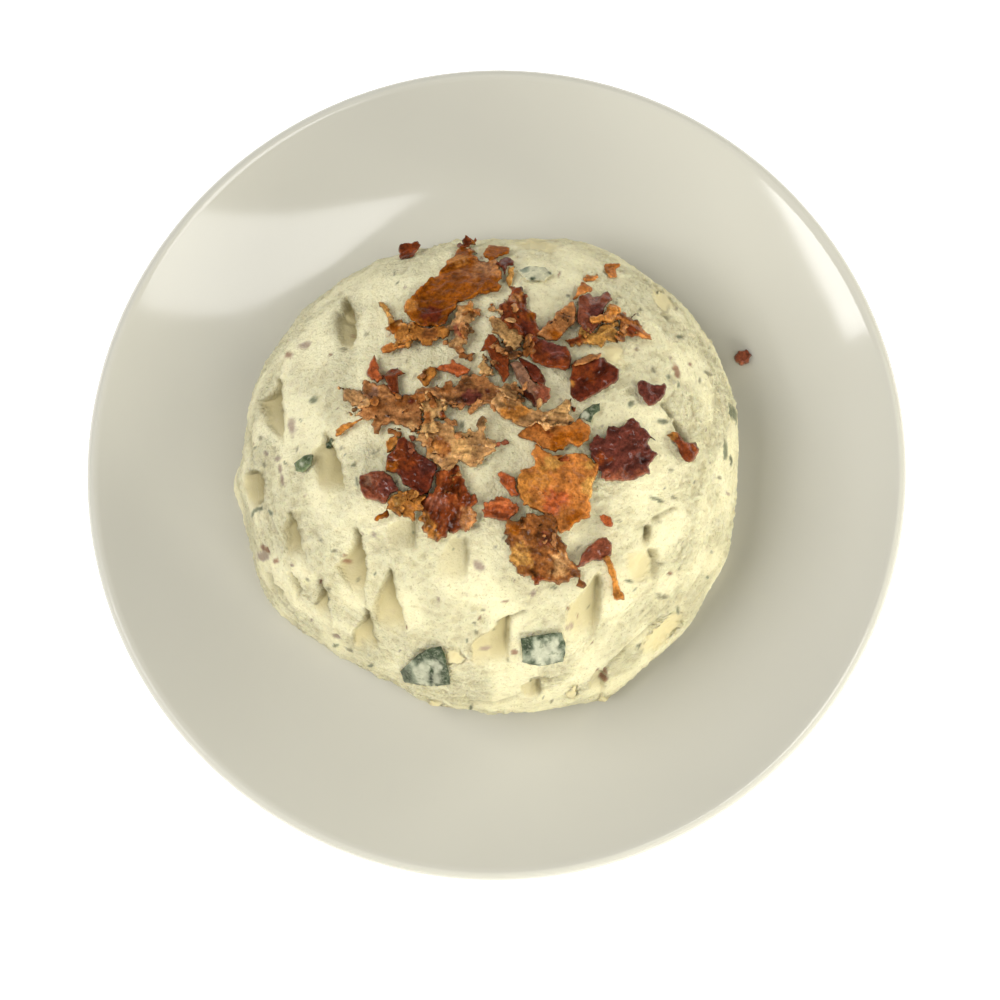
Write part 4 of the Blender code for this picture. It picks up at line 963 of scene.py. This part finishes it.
def plate_profile():
    """Half section of the plate, from the axis over the top, round the lip and back below."""
    wall = np.linspace(WELL_RADIUS - WELL_BLEND, PLATE_RADIUS - LIP_RADIUS, WALL_STEPS + 1)
    outline = [(radius, WELL_HEIGHT) for radius in WELL_RINGS]
    outline += [(radius, float(plate_top(radius))) for radius in wall]
    lip_z = PLATE_HEIGHT - LIP_RADIUS
    for step in range(1, LIP_STEPS + 1):
        turn = math.pi * step / LIP_STEPS
        outline.append((PLATE_RADIUS - LIP_RADIUS + LIP_RADIUS * math.sin(turn),
                        lip_z + LIP_RADIUS * math.cos(turn)))
    for radius in wall[-2:0:-1]:
        outline.append((radius, float(plate_top(radius)) - PLATE_THICKNESS))
    across, up = FOOT_BEVEL
    outline += [(FOOT_OUTER + 1.0, FOOT_RECESS - 0.4), (FOOT_OUTER, up), (FOOT_OUTER - across, 0.0),
                (FOOT_INNER + across, 0.0), (FOOT_INNER, up), (FOOT_INNER - 1.0, FOOT_RECESS),
                (0.0, FOOT_RECESS)]
    return outline


def turned(outline, steps):
    """Points and faces of a profile turned round the Z axis, from its axis and back to it."""
    angles = 2.0 * math.pi * np.arange(steps) / steps
    points = [(0.0, 0.0, outline[0][1])]
    for radius, height in outline[1:-1]:
        points += [(radius * math.cos(angle), radius * math.sin(angle), height)
                   for angle in angles]
    points.append((0.0, 0.0, outline[-1][1]))
    rows = len(outline) - 2
    faces = []
    for here in range(steps):
        after = (here + 1) % steps
        faces.append((0, 1 + here, 1 + after))
        for row in range(rows - 1):
            inner, outer = 1 + row * steps, 1 + (row + 1) * steps
            faces.append((inner + here, outer + here, outer + after, inner + after))
        last = 1 + (rows - 1) * steps
        faces.append((last + here, len(points) - 1, last + after))
    return points, faces


def make_plate():
    points, faces = turned(plate_profile(), PLATE_STEPS)
    return set_piece("glazed_plate", points, faces, glaze_material(), ["plate"])


def disc_net(cells):
    """Run and bearing of each point, and quads, of a square net drawn out to a round one."""
    line = np.linspace(-1.0, 1.0, cells + 1)
    across, along = np.meshgrid(line, line)
    x, y = across.ravel(), along.ravel()
    wide = np.abs(x) > np.abs(y)
    reach = np.where(wide, x, y)
    with np.errstate(divide="ignore", invalid="ignore"):
        turn = np.where(wide, 0.25 * math.pi * y / x, 0.5 * math.pi - 0.25 * math.pi * x / y)
    turn = np.nan_to_num(turn)
    row = cells + 1
    quads = [(j * row + i, j * row + i + 1, (j + 1) * row + i + 1, (j + 1) * row + i)
             for j in range(cells) for i in range(cells)]
    return np.abs(reach), np.where(reach < 0, turn + math.pi, turn), quads


def mound_shell(run, bearing):
    """Bare dome: run goes from 0 at the crown to 1 at the foot. Returns points and normals."""
    reach = closed_spline(MOUND_REACH, bearing)
    slope = 0.5 * math.pi * run
    out = np.sin(slope) ** (2.0 / MOUND_POWER)
    rise = np.clip(np.cos(slope), 0.0, 1.0) ** (2.0 / MOUND_POWER)
    height = MOUND_HEIGHT * rise
    radius = reach * out - TUCK * np.clip(1.0 - height / TUCK_HEIGHT, 0.0, 1.0) ** 2
    for angle, half, push, tall in FOOT_LUMPS:
        away = (np.degrees(bearing) - angle + 180.0) % 360.0 - 180.0
        radius += push * np.exp(-(away / half) ** 2 - ((height - 0.4 * tall) / tall) ** 2)
    x = MOUND_CENTRE[0] + radius * np.cos(bearing)
    y = MOUND_CENTRE[1] + radius * np.sin(bearing)
    flat = out ** (MOUND_POWER - 1.0) / reach
    steep = rise ** (MOUND_POWER - 1.0) / MOUND_HEIGHT
    size = np.hypot(flat, steep)
    normals = np.stack([flat * np.cos(bearing) / size, flat * np.sin(bearing) / size,
                        steep / size], 1)
    return np.stack([x, y, MOUND_BASE + height], 1), normals


def seen_at(points):
    """Pixels of the photograph at which points show."""
    eye, right, above, back = (np.array(vector) for vector in camera_place())
    away = points - eye
    depth = -away @ back
    return (PHOTO_SIZE / 2.0 + CAMERA_FOCAL * (away @ right) / depth,
            PHOTO_SIZE / 2.0 - CAMERA_FOCAL * (away @ above) / depth)


def knife_marks(px, py):
    """Depth of the knife's marks, how smooth they leave the cheese, the shade painted along
    the right edge, and the low ledge that goes on from it."""
    depth, smooth, dark, ledge = (np.zeros_like(px) for _ in range(4))
    for right_edge, left_edge, deep, gloom in KNIFE_MARKS:
        (right_x, right_y), (left_x, left_y) = np.transpose(right_edge), np.transpose(left_edge)
        top, bottom = right_y[0], right_y[-1]
        right = np.interp(py, right_y, right_x)
        width = np.maximum(right - np.interp(py, left_y, left_x), 0.5)
        left = right - px
        down = (py - top) / (bottom - top)
        step = smooth_step(left / EDGE_SOFTNESS)
        bank = smooth_step((width - left) / (0.25 * width + 1.5))
        start, end = smooth_step(down / MARK_START), 1.0 - smooth_step((down - 0.5) / 0.5)
        tilt = DEEPEST - SHALLOWER * left / width
        depth = np.maximum(depth, deep * step * bank * tilt * start * end)
        last = 1.0 - smooth_step((down - 0.72) / 0.34)
        flat = min(deep / FLAT_DEPTH, 1.0) * step * smooth_step((width - left) / FLAT_SOFTNESS)
        smooth = np.maximum(smooth, flat * start * last)
        # painted shade: dark along the mark's deep right edge, fading to the left and down the mark
        shade = step * np.exp(-np.maximum(left, 0.0) / SHADE_REACH) * bank * start
        dark = np.maximum(dark, 1.15 * gloom * shade * (1.0 - smooth_step((down - 0.45) / 0.65)))
        # painted shade: the darkest line, just left of the right edge
        line = np.exp(-((left - 2.0) / EDGE_LINE) ** 2) * start
        line *= 1.0 - smooth_step((down - 0.5) / 0.45)
        dark = np.maximum(dark, min(gloom + 0.35, 1.0) * line)
        side = step * np.exp(-np.maximum(left, 0.0) / LEDGE_REACH)
        fade = smooth_step((down + 0.5) / 0.5) * (1.0 - smooth_step((down - 1.0) / 0.9))
        ledge = np.maximum(ledge, LEDGE * side * fade)
    return depth, smooth, dark, ledge


def smears(px, py):
    """Depth of the smoothed areas and how smooth they are."""
    depth, smooth = np.zeros_like(px), np.zeros_like(px)
    for centre_x, centre_y, long, short, turn, deep in SMEARS:
        away = oval_distance(px, py, centre_x, centre_y, long, short, turn)
        depth += deep * (1.0 - smooth_step(away))
        smooth = np.maximum(smooth, 1.0 - smooth_step((away - 0.6) / 0.5))
    return depth, smooth


def oval_distance(px, py, centre_x, centre_y, long, short, turn):
    """Distance from an oval's centre, 1 at its edge; it turns clockwise by degrees."""
    cos, sin = math.cos(math.radians(turn)), math.sin(math.radians(turn))
    along = ((px - centre_x) * cos + (py - centre_y) * sin) / long
    across = ((py - centre_y) * cos - (px - centre_x) * sin) / short
    return np.hypot(along, across)


def cracks(px, py):
    """Depth of the cracks, and how dark the shade painted in each is."""
    depth, dark = np.zeros_like(px), np.zeros_like(px)
    for line, half, deep in CRACKS:
        for (start_x, start_y), (end_x, end_y) in zip(line, line[1:]):
            run_x, run_y = end_x - start_x, end_y - start_y
            along = ((px - start_x) * run_x + (py - start_y) * run_y) / (run_x ** 2 + run_y ** 2)
            inside = np.clip(along, 0.0, 1.0)
            away = np.hypot(px - start_x - inside * run_x, py - start_y - inside * run_y)
            groove = 1.0 - smooth_step(away / (2.0 * half))
            depth = np.maximum(depth, deep * groove)
            # painted shade in the crack, darker the deeper it is
            dark = np.maximum(dark, CRACK_GLOOM * deep * groove)
    return depth, dark


def fleck_rows():
    """The listed flecks, and small stray ones."""
    shuffle = np.random.default_rng(FLECK_SEED)
    rows = list(FLECKS)
    for _ in range(STRAY_FLECKS):
        away = STRAY_REACH * math.sqrt(shuffle.uniform())
        angle = shuffle.uniform(0.0, 2.0 * math.pi)
        rows.append((STRAY_CENTRE[0] + away * math.cos(angle),
                     STRAY_CENTRE[1] + away * math.sin(angle), shuffle.uniform(*STRAY_LENGTHS),
                     shuffle.uniform(*STRAY_WIDTHS), shuffle.uniform(0.0, 180.0),
                     STRAY_COLOURS[shuffle.integers(len(STRAY_COLOURS))]))
    return rows


def fleck_paint(px, py, wobble):
    """Colour of the flecks and how much of it shows at each point."""
    colours = np.tile(FLECK_COLOURS["dusk"], (len(px), 1))
    share = np.zeros(len(px))
    for centre_x, centre_y, long, short, turn, colour in fleck_rows():
        near = np.hypot(px - centre_x, py - centre_y) < 1.6 * long + 2.0
        away = oval_distance(px[near], py[near], centre_x, centre_y, long, short, turn)
        strength = 1.0 - smooth_step((away + 0.5 * wobble[near] - 0.5) / 0.8)
        stronger = strength > share[near]
        places = np.flatnonzero(near)[stronger]
        share[places] = strength[stronger]
        colours[places] = FLECK_COLOURS[colour]
    return colours, share


def stroke_height(x):
    """Low ridges between the knife's side by side strokes."""
    ridge = np.abs(((x / STROKE_WIDTH) % 1.0) - 0.5) * 2.0
    return STROKE_DEPTH * ridge ** 3 * (1.0 - smooth_step((x - STROKE_EDGE) / STROKE_WIDTH))


def mound_surface(run, bearing):
    """Points of the dome with its relief, and the values to be painted on them."""
    points, normals = mound_shell(run, bearing)
    x, y, z = points.T
    px, py = seen_at(points)
    grain = rough_noise(points * GRAIN_SQUASH, GRAIN_SIZE, 4)
    sway = SWAY * smooth_noise(points, SWAY_SIZE)
    cut, smooth, dark, ledge = knife_marks(px + 0.8 * grain + 0.3 * sway, py + sway)
    smeared, flat = smears(px + 4.0 * grain + sway, py + 3.0 * grain - sway)
    cracked, crack = cracks(px + 1.5 * grain, py)
    facing = smooth_step((normals @ np.array(camera_place()[3]) - 0.02) / FACING)
    pressed = np.maximum(smooth, flat) * facing
    sunk = (cut + smeared + cracked + ledge) * facing
    lumps = LUMP_DEPTH * smooth_noise(points, LUMP_SIZE)
    flow = streak_place(points, bearing)
    share = streak_share(run, bearing)
    streaks = STREAK_DEPTH * rough_noise(flow, 1.0, 3) * share
    calm = smooth_step(0.5 + 1.6 * smooth_noise(points * (1.0, 1.0, 1.6), CALM_SIZE, 3.0))
    rough = (GRAIN_DEPTH * grain + streaks) * (1.0 - 0.92 * pressed) * (1.0 - CALM_SHARE * calm)
    relief = lumps + stroke_height(x) - sunk + rough
    foot = smooth_step((z - MOUND_BASE) / TUCK_HEIGHT)
    moved = points + normals * relief[:, None] * (0.3 + 0.7 * foot)[:, None]
    floor = plate_top(np.hypot(*moved[:, :2].T)) + GAP
    moved[:, 2] = np.where(run >= 1.0, floor, np.maximum(moved[:, 2], floor))
    colours, flecked = fleck_paint(px, py, grain)
    values = {
        "pressed": pressed,
        "calm": calm,
        # painted shade in the valleys of the grain, where the relief is low
        "grain_valley_shade": smooth_step(0.2 - 1.2 * rough / GRAIN_DEPTH),
        "flow": flow,
        "streak": share,
        # painted shade along the knife marks' right edges and in the cracks
        "dark": np.maximum(dark, crack) * facing,
        "fleck": colours,
        "flecked": flecked * facing,
    }
    return moved, values


def streak_place(points, bearing):
    """Places in which plain noise comes out as streaks drawn out round the mound."""
    return np.column_stack([np.cos(bearing) * STREAK_ROUND / STREAK_LENGTH,
                            np.sin(bearing) * STREAK_ROUND / STREAK_LENGTH,
                            (0.6 * np.hypot(*points[:, :2].T) - points[:, 2]) / STREAK_WIDTH])


def streak_share(run, bearing):
    """How strong the streaks are: strongest on the lower flank in their sector."""
    middle, half = STREAK_SECTOR
    away = np.abs((np.degrees(bearing) - middle + 180.0) % 360.0 - 180.0)
    sector = 1.0 - 0.75 * smooth_step((away - 0.7 * half) / (0.6 * half))
    return sector * smooth_step((run - 0.35) / 0.35)


def make_mound():
    run, bearing, faces = disc_net(MOUND_CELLS)
    points, values = mound_surface(run, bearing)
    row = MOUND_CELLS + 1
    last = row * MOUND_CELLS
    rim = list(range(0, MOUND_CELLS)) + list(range(MOUND_CELLS, last + MOUND_CELLS, row))
    rim += list(range(last + MOUND_CELLS, last, -1)) + list(range(last, 0, -row))
    faces.append(tuple(reversed(rim)))
    mound = set_piece("whipped_cheese", points, faces, cheese_material(),
                      ["cheese"])
    for name, value in values.items():
        paint(mound, name, value)
    return Heap(points, faces)


def under_pixel(px, py, height):
    """Point in plan that shows at a pixel of the photograph, at a height."""
    eye, right, above, back = camera_place()
    across = (np.asarray(px, dtype=float) - PHOTO_SIZE / 2.0) / CAMERA_FOCAL
    down = (np.asarray(py, dtype=float) - PHOTO_SIZE / 2.0) / CAMERA_FOCAL
    ray = [across * right[axis] - down * above[axis] - back[axis] for axis in range(3)]
    reach = (height - eye[2]) / ray[2]
    return eye[0] + ray[0] * reach, eye[1] + ray[1] * reach


class Heap:
    """Heights, in plan, of the cheese and of the chips laid on it so far."""

    def __init__(self, points, faces):
        self.line = np.arange(-HEAP_REACH, HEAP_REACH, HEAP_CELL)
        self.heights = np.full((len(self.line), len(self.line)), MOUND_BASE)
        self.lay(points, faces)

    def lay(self, points, faces):
        """Raise the heights to a new surface."""
        points = np.asarray(points)
        tree = BVHTree.FromPolygons(points.tolist(), faces)
        low = np.searchsorted(self.line, points.min(0)[:2])
        high = np.searchsorted(self.line, points.max(0)[:2])
        for column in range(low[0], min(high[0] + 1, len(self.line))):
            for row in range(low[1], min(high[1] + 1, len(self.line))):
                start = Vector((self.line[column], self.line[row], 100.0))
                hit = tree.ray_cast(start, DOWN)[0]
                if hit and hit.z > self.heights[column, row]:
                    self.heights[column, row] = hit.z

    def at(self, x, y):
        """Height under each point."""
        last = len(self.line) - 1.001
        column = np.clip((x + HEAP_REACH) / HEAP_CELL, 0.0, last)
        row = np.clip((y + HEAP_REACH) / HEAP_CELL, 0.0, last)
        i, j = column.astype(int), row.astype(int)
        a, b = column - i, row - j
        heights = self.heights
        return ((1 - a) * (1 - b) * heights[i, j] + a * (1 - b) * heights[i + 1, j]
                + (1 - a) * b * heights[i, j + 1] + a * b * heights[i + 1, j + 1])

    def under(self, outline, drop=MOUND_HEIGHT):
        """Points of the surface that show at pixels of the photograph, in plan. None is taken
        to be lower than the highest one by more than the drop."""
        px, py = np.array(outline, dtype=float).T
        height = np.full(len(px), MOUND_HEIGHT)
        for _ in range(6):
            x, y = under_pixel(px, py, height)
            height = self.at(x, y)
            height = np.maximum(height, height.max() - drop)
        return np.column_stack([x, y])


def spaced(outline, step):
    """Closed outline with points at equal steps."""
    closed = np.vstack([outline, outline[:1]])
    lengths = np.hypot(*np.diff(closed, axis=0).T)
    run = np.concatenate([[0.0], np.cumsum(lengths)])
    places = np.linspace(0.0, run[-1], max(int(run[-1] / step), 8), endpoint=False)
    return np.column_stack([np.interp(places, run, closed[:, axis]) for axis in range(2)])


def ragged(outline, tooth, seed):
    """Outline with small teeth, moved out and in along its normals."""
    along = np.roll(outline, -1, 0) - np.roll(outline, 1, 0)
    normals = np.column_stack([along[:, 1], -along[:, 0]])
    normals /= np.maximum(np.hypot(*normals.T), 1e-6)[:, None]
    places = np.column_stack([outline, np.full(len(outline), seed)])
    wave = rough_noise(places, 3.0, 5, seed)
    spike = rough_noise(places, 1.1, 3, seed + 9.0)
    return outline + normals * (tooth * (wave + 0.6 * spike))[:, None]


def inside(outline, points):
    """Which points lie within a closed outline."""
    x, y = points[:, 0][:, None], points[:, 1][:, None]
    start, end = outline, np.roll(outline, -1, 0)
    crosses = (start[:, 1] > y) != (end[:, 1] > y)
    rise = np.where(end[:, 1] == start[:, 1], 1e-9, end[:, 1] - start[:, 1])
    place = start[:, 0] + (y - start[:, 1]) / rise * (end[:, 0] - start[:, 0])
    return (crosses & (x < place)).sum(1) % 2 == 1


def edge_distance(outline, points):
    """Distance from each point to a closed outline."""
    start = outline
    line = np.roll(outline, -1, 0) - start
    away = points[:, None, :] - start[None, :, :]
    share = (away * line).sum(2) / np.maximum((line * line).sum(1), 1e-9)
    away -= np.clip(share, 0.0, 1.0)[:, :, None] * line
    return np.sqrt((away ** 2).sum(2).min(1))


def chip_net(outline, step, shuffle):
    """Triangles that fill an outline: points in plan, distance to the edge, and faces."""
    low, high = outline.min(0), outline.max(0)
    rows = np.arange(low[1], high[1], step * 0.87)
    grid = [(x + 0.5 * step * (index % 2), y) for index, y in enumerate(rows)
            for x in np.arange(low[0], high[0], step)]
    grid = np.array(grid) + shuffle.uniform(-0.18, 0.18, (len(grid), 2)) * step
    grid = grid[inside(outline, grid)]
    if len(grid):
        grid = grid[edge_distance(outline, grid) > 0.45 * step]
    count = len(outline)
    edges = [(index, (index + 1) % count) for index in range(count)]
    corners = [Vector(point) for point in np.vstack([outline, grid])]
    net = geometry.delaunay_2d_cdt(corners, edges, [], 1, 1e-4)
    points = np.array([tuple(point) for point in net[0]])
    return points, edge_distance(outline, points), [tuple(face) for face in net[2]]


def quadratic_fit(points, heights, places):
    """Heights, at places, of the smooth sheet that runs through points."""
    def terms(plan):
        x, y = (plan - centre).T
        return np.column_stack([np.ones(len(x)), x, y, x * x, x * y, y * y])
    centre = points.mean(0)
    weights = np.linalg.lstsq(terms(points), heights, rcond=0.02)[0]
    return terms(places) @ weights


def long_axis(outline):
    """Unit vector along the longest way across an outline."""
    spread = np.cov((outline - outline.mean(0)).T)
    return np.linalg.eigh(spread)[1][:, 1]


def folds(plan, axis, form, seed):
    """Sharp ridges drawn out along a chip, from about -1 to 1, its finer grain and its fibres."""
    _, _, size, stretch, _, _ = form
    along = plan @ axis
    across = plan @ np.array([-axis[1], axis[0]])
    places = np.column_stack([along / stretch, across, np.full(len(plan), seed)])
    ridge = 1.0 - 2.4 * np.abs(rough_noise(places, size, 3, seed))
    grain = rough_noise(places, 1.2, 3, seed + 4.0)
    thin = np.column_stack([along / 4.5, across, np.full(len(plan), seed)])
    return ridge, grain, rough_noise(thin, 1.25, 3, seed + 7.0)


def chip_colours(name, slot, colour, heap, plan, distance, relief, fibre, seed):
    """Colour at each point: the chip's own, its patches, its fibres, painted light on its ridges
    and painted shade in its creases, and a paler outline that is partly painted light.
    """
    places = np.column_stack([plan, np.full(len(plan), seed)])
    broad = rough_noise(places, 3.0, 3, seed)
    fine = rough_noise(places, 1.3, 3, seed + 5.0)
    colours = np.tile(PALETTE[colour], (len(plan), 1))
    for patch, px, py, radius in PATCHES.get(name, ()):
        centre = heap.under([(px, py)])[0]
        radius /= PIXELS_PER_MM
        away = np.hypot(*(plan - centre).T) / radius
        share = smooth_step((1.35 - away + 0.9 * broad + 0.5 * fine) / 0.8)
        colours += (np.array(PALETTE[patch]) - colours) * share[:, None]
    # random tone, and from the relief painted light on the fold ridges and painted shade in the creases
    shade = 1.0 + 0.30 * broad + 0.25 * fine + 0.28 * relief
    colours *= np.clip(shade, 0.25, 1.7)[:, None]
    pale, dark = (smooth_step(FIBRE[slot] * side * fibre - 0.25) for side in (2.2, -2.2))
    # paler edge: partly the chip's own fringe, partly painted light shining through the thin edge
    rim = smooth_step(1.0 - distance / EDGE_LIGHT[slot]) * smooth_step(0.6 + 1.8 * broad)
    pale = np.maximum(0.7 * pale, 0.75 * rim)
    colours += (colours ** 0.8 * FIBRE_LIGHT - colours) * pale[:, None]
    return colours * (1.0 - 0.55 * dark)[:, None]


def chip_mesh(name, slot, colour, outline, heap, seed, node=None):
    """Fine ragged, folded chip on the heap: points, faces and a colour at each point."""
    form = CHIP_FORM[slot]
    thickness, fold, _, _, tooth, grain = form
    span = np.hypot(*np.ptp(np.array(outline, dtype=float), 0)) / PIXELS_PER_MM
    flatter = min(span / LARGE_CHIP, 1.0)
    fold, grain = fold * flatter, grain * flatter
    shuffle = np.random.default_rng(int(seed * 10.0))
    drop = MOUND_HEIGHT if node else BIT_DROP
    edge = ragged(spaced(heap.under(outline, drop), CHIP_STEP), tooth, seed)
    plan, distance, faces = chip_net(edge, CHIP_STEP, shuffle)
    below = heap.at(*plan.T)
    below = np.maximum(below, below.max() - drop)
    if node:
        corners = np.array([tuple(vertex.co / MM) for vertex in node.data.vertices
                            if vertex.normal.z > FACES_UP])
        sheet = quadratic_fit(corners[:, :2], corners[:, 2], plan) - thickness / 2.0
    else:
        sheet = quadratic_fit(plan, below, plan) + thickness / 2.0
    ridge, rough, fibre = folds(plan, long_axis(edge), form, seed)
    bulge = smooth_step(distance / CHIP_ROUND)
    round_off = 1.0 - np.clip(distance / CHIP_ROUND, 0.0, 1.0)
    half = 0.5 * thickness * np.sqrt(1.0 - round_off ** 2)
    least = below + half + CHIP_GAP
    middle = np.clip(sheet + fold * ridge, least, least + CHIP_LIFT)
    upper = np.column_stack([plan, middle + half + grain * rough * bulge])
    borders = distance < 1e-4
    twin = np.arange(len(plan))
    twin[~borders] = len(plan) + np.arange((~borders).sum())
    lower = np.column_stack([plan, middle - half])[~borders]
    underside = [tuple(int(twin[corner]) for corner in reversed(face)) for face in faces]
    colours = chip_colours(name, slot, colour, heap, plan, distance, ridge, fibre, seed)
    heap.lay(upper, faces)
    points = np.vstack([upper, lower])
    return points, faces + underside, np.vstack([colours, colours[~borders]])


def scrap_outline(px, py, length, shuffle):
    """Small uneven outline in pixels of the photograph."""
    turn = shuffle.uniform(0.0, math.pi)
    width = length * shuffle.uniform(*SCRAP_WIDTHS)
    points = []
    for corner in range(SCRAP_CORNERS):
        angle = 2.0 * math.pi * (corner + shuffle.uniform(-0.3, 0.3)) / SCRAP_CORNERS
        reach = shuffle.uniform(0.6, 1.15)
        along, across = length * reach * math.cos(angle), width * reach * math.sin(angle)
        points.append((px + along * math.cos(turn) - across * math.sin(turn),
                       py + along * math.sin(turn) + across * math.cos(turn)))
    return points[::-1]


def make_scraps(heap, materials):
    """Small bits, tatters and crumbs in and round the heap, as one piece of each kind."""
    shuffle = np.random.default_rng(SCRAP_SEED)
    kinds = {}
    for number, (slot, colour, outline) in enumerate(BITS):
        part = chip_mesh("", slot, colour, outline, heap, BIT_SEED[0] + BIT_SEED[1] * number)
        kinds.setdefault(slot, []).append(part)
    for px, py, radius, count, slot, colour in SCRAPS:
        for _ in range(count):
            away = radius * math.sqrt(shuffle.uniform())
            angle = shuffle.uniform(0.0, 2.0 * math.pi)
            outline = scrap_outline(px + away * math.cos(angle), py + away * math.sin(angle),
                                    shuffle.uniform(*SCRAP_LENGTHS), shuffle)
            part = chip_mesh("", slot, colour, outline, heap, shuffle.uniform(*SCRAP_SEEDS))
            kinds.setdefault(slot, []).append(part)
    for slot, parts in kinds.items():
        points, faces, colours, start = [], [], [], 0
        for part_points, part_faces, part_colours in parts:
            points.append(part_points)
            faces += [tuple(corner + start for corner in face) for face in part_faces]
            colours.append(part_colours)
            start += len(part_points)
        piece = set_piece(slot + "_scraps", np.vstack(points), faces, materials[slot])
        paint(piece, "tint", np.vstack(colours))


def make_chips(heap):
    """Chips in the order in which they lie, each in the place of its solid."""
    materials = {slot: bacon_material(slot) for slot in CHIP_FORM if slot != "scallion_green"}
    materials["scallion_green"] = scallion_material()
    for number, (name, (colour, outline)) in enumerate(CHIPS.items()):
        slot = SLOTS[name]
        points, faces, colours = chip_mesh(name, slot, colour, outline, heap,
                                           CHIP_SEED[0] + CHIP_SEED[1] * number, NODES[name])
        chip = set_piece(name + "_chip", points, faces, materials[slot], [name])
        paint(chip, "tint", colours)
    make_scraps(heap, materials)


def make_floor():
    """Plain pale floor, a little bright of itself."""
    material = bpy.data.materials.new("floor")
    material.use_nodes = True
    surface = material.node_tree.nodes["Principled BSDF"]
    surface.inputs["Base Color"].default_value = FLOOR_COLOUR
    surface.inputs["Roughness"].default_value = 0.9
    surface.inputs["Emission Color"].default_value = (1.0, 1.0, 1.0, 1.0)
    surface.inputs["Emission Strength"].default_value = FLOOR_GLOW
    bpy.ops.mesh.primitive_plane_add(size=FLOOR_SIZE)
    floor = bpy.context.object
    floor.name = "floor"
    floor.data.materials.append(material)


def direction(bearing, rise):
    """Unit vector towards a bearing and a rise above the floor, in degrees."""
    bearing, rise = math.radians(bearing), math.radians(rise)
    return Vector((math.cos(rise) * math.cos(bearing), math.cos(rise) * math.sin(bearing),
                   math.sin(rise)))


def soft_light(name, start, end, width, radiance, colour):
    """Rectangle of light that faces the dish. Its long side runs from one direction, a bearing
    and a rise in degrees, to another, and its width is in metres at LIGHT_DISTANCE."""
    first, last = direction(*start), direction(*end)
    away = (first + last).normalized()
    along = last - first
    length = along.length * LIGHT_DISTANCE
    along.normalize()
    across = away.cross(along).normalized()
    lamp = bpy.data.lights.new(name, "AREA")
    lamp.shape = "RECTANGLE"
    lamp.size = length
    lamp.size_y = width
    lamp.energy = radiance * math.pi * length * width
    lamp.color = colour
    light = bpy.data.objects.new(name, lamp)
    turn = Matrix((away.cross(across) * -1.0, across, away)).transposed()
    light.matrix_world = Matrix.Translation(away * LIGHT_DISTANCE) @ turn.to_4x4()
    light.visible_glossy = name in WINDOWS
    bpy.context.scene.collection.objects.link(light)


def make_lights():
    for row in LIGHTS:
        soft_light(*row)
    world = bpy.data.worlds.new("studio")
    world.use_nodes = True
    background = world.node_tree.nodes["Background"]
    background.inputs["Color"].default_value = AMBIENT_COLOUR
    background.inputs["Strength"].default_value = AMBIENT
    bpy.context.scene.world = world


def camera_place():
    """Place of the camera in millimetres, and its directions to the right, up and back."""
    back = direction(CAMERA_BEARING, 90.0 - CAMERA_TILT)
    right = Vector((0.0, 1.0, 0.0)).cross(back).normalized()
    return Vector(CAMERA_AIM) + back * CAMERA_DISTANCE, right, back.cross(right), back


def make_camera():
    lens = bpy.data.cameras.new("camera")
    lens.sensor_width = SENSOR
    lens.lens = CAMERA_FOCAL / PHOTO_SIZE * SENSOR
    lens.clip_start = CLIP_START
    camera = bpy.data.objects.new("camera", lens)
    eye, right, above, back = camera_place()
    turn = Matrix((right, above, back)).transposed()
    camera.matrix_world = Matrix.Translation(eye * MM) @ turn.to_4x4()
    bpy.context.scene.collection.objects.link(camera)
    bpy.context.scene.camera = camera


def build():
    make_plate()
    make_chips(make_mound())
    make_floor()
    make_lights()
    make_camera()
    bpy.context.scene.view_settings.view_transform = "Standard"


build()
bpy.context.view_layer.update()
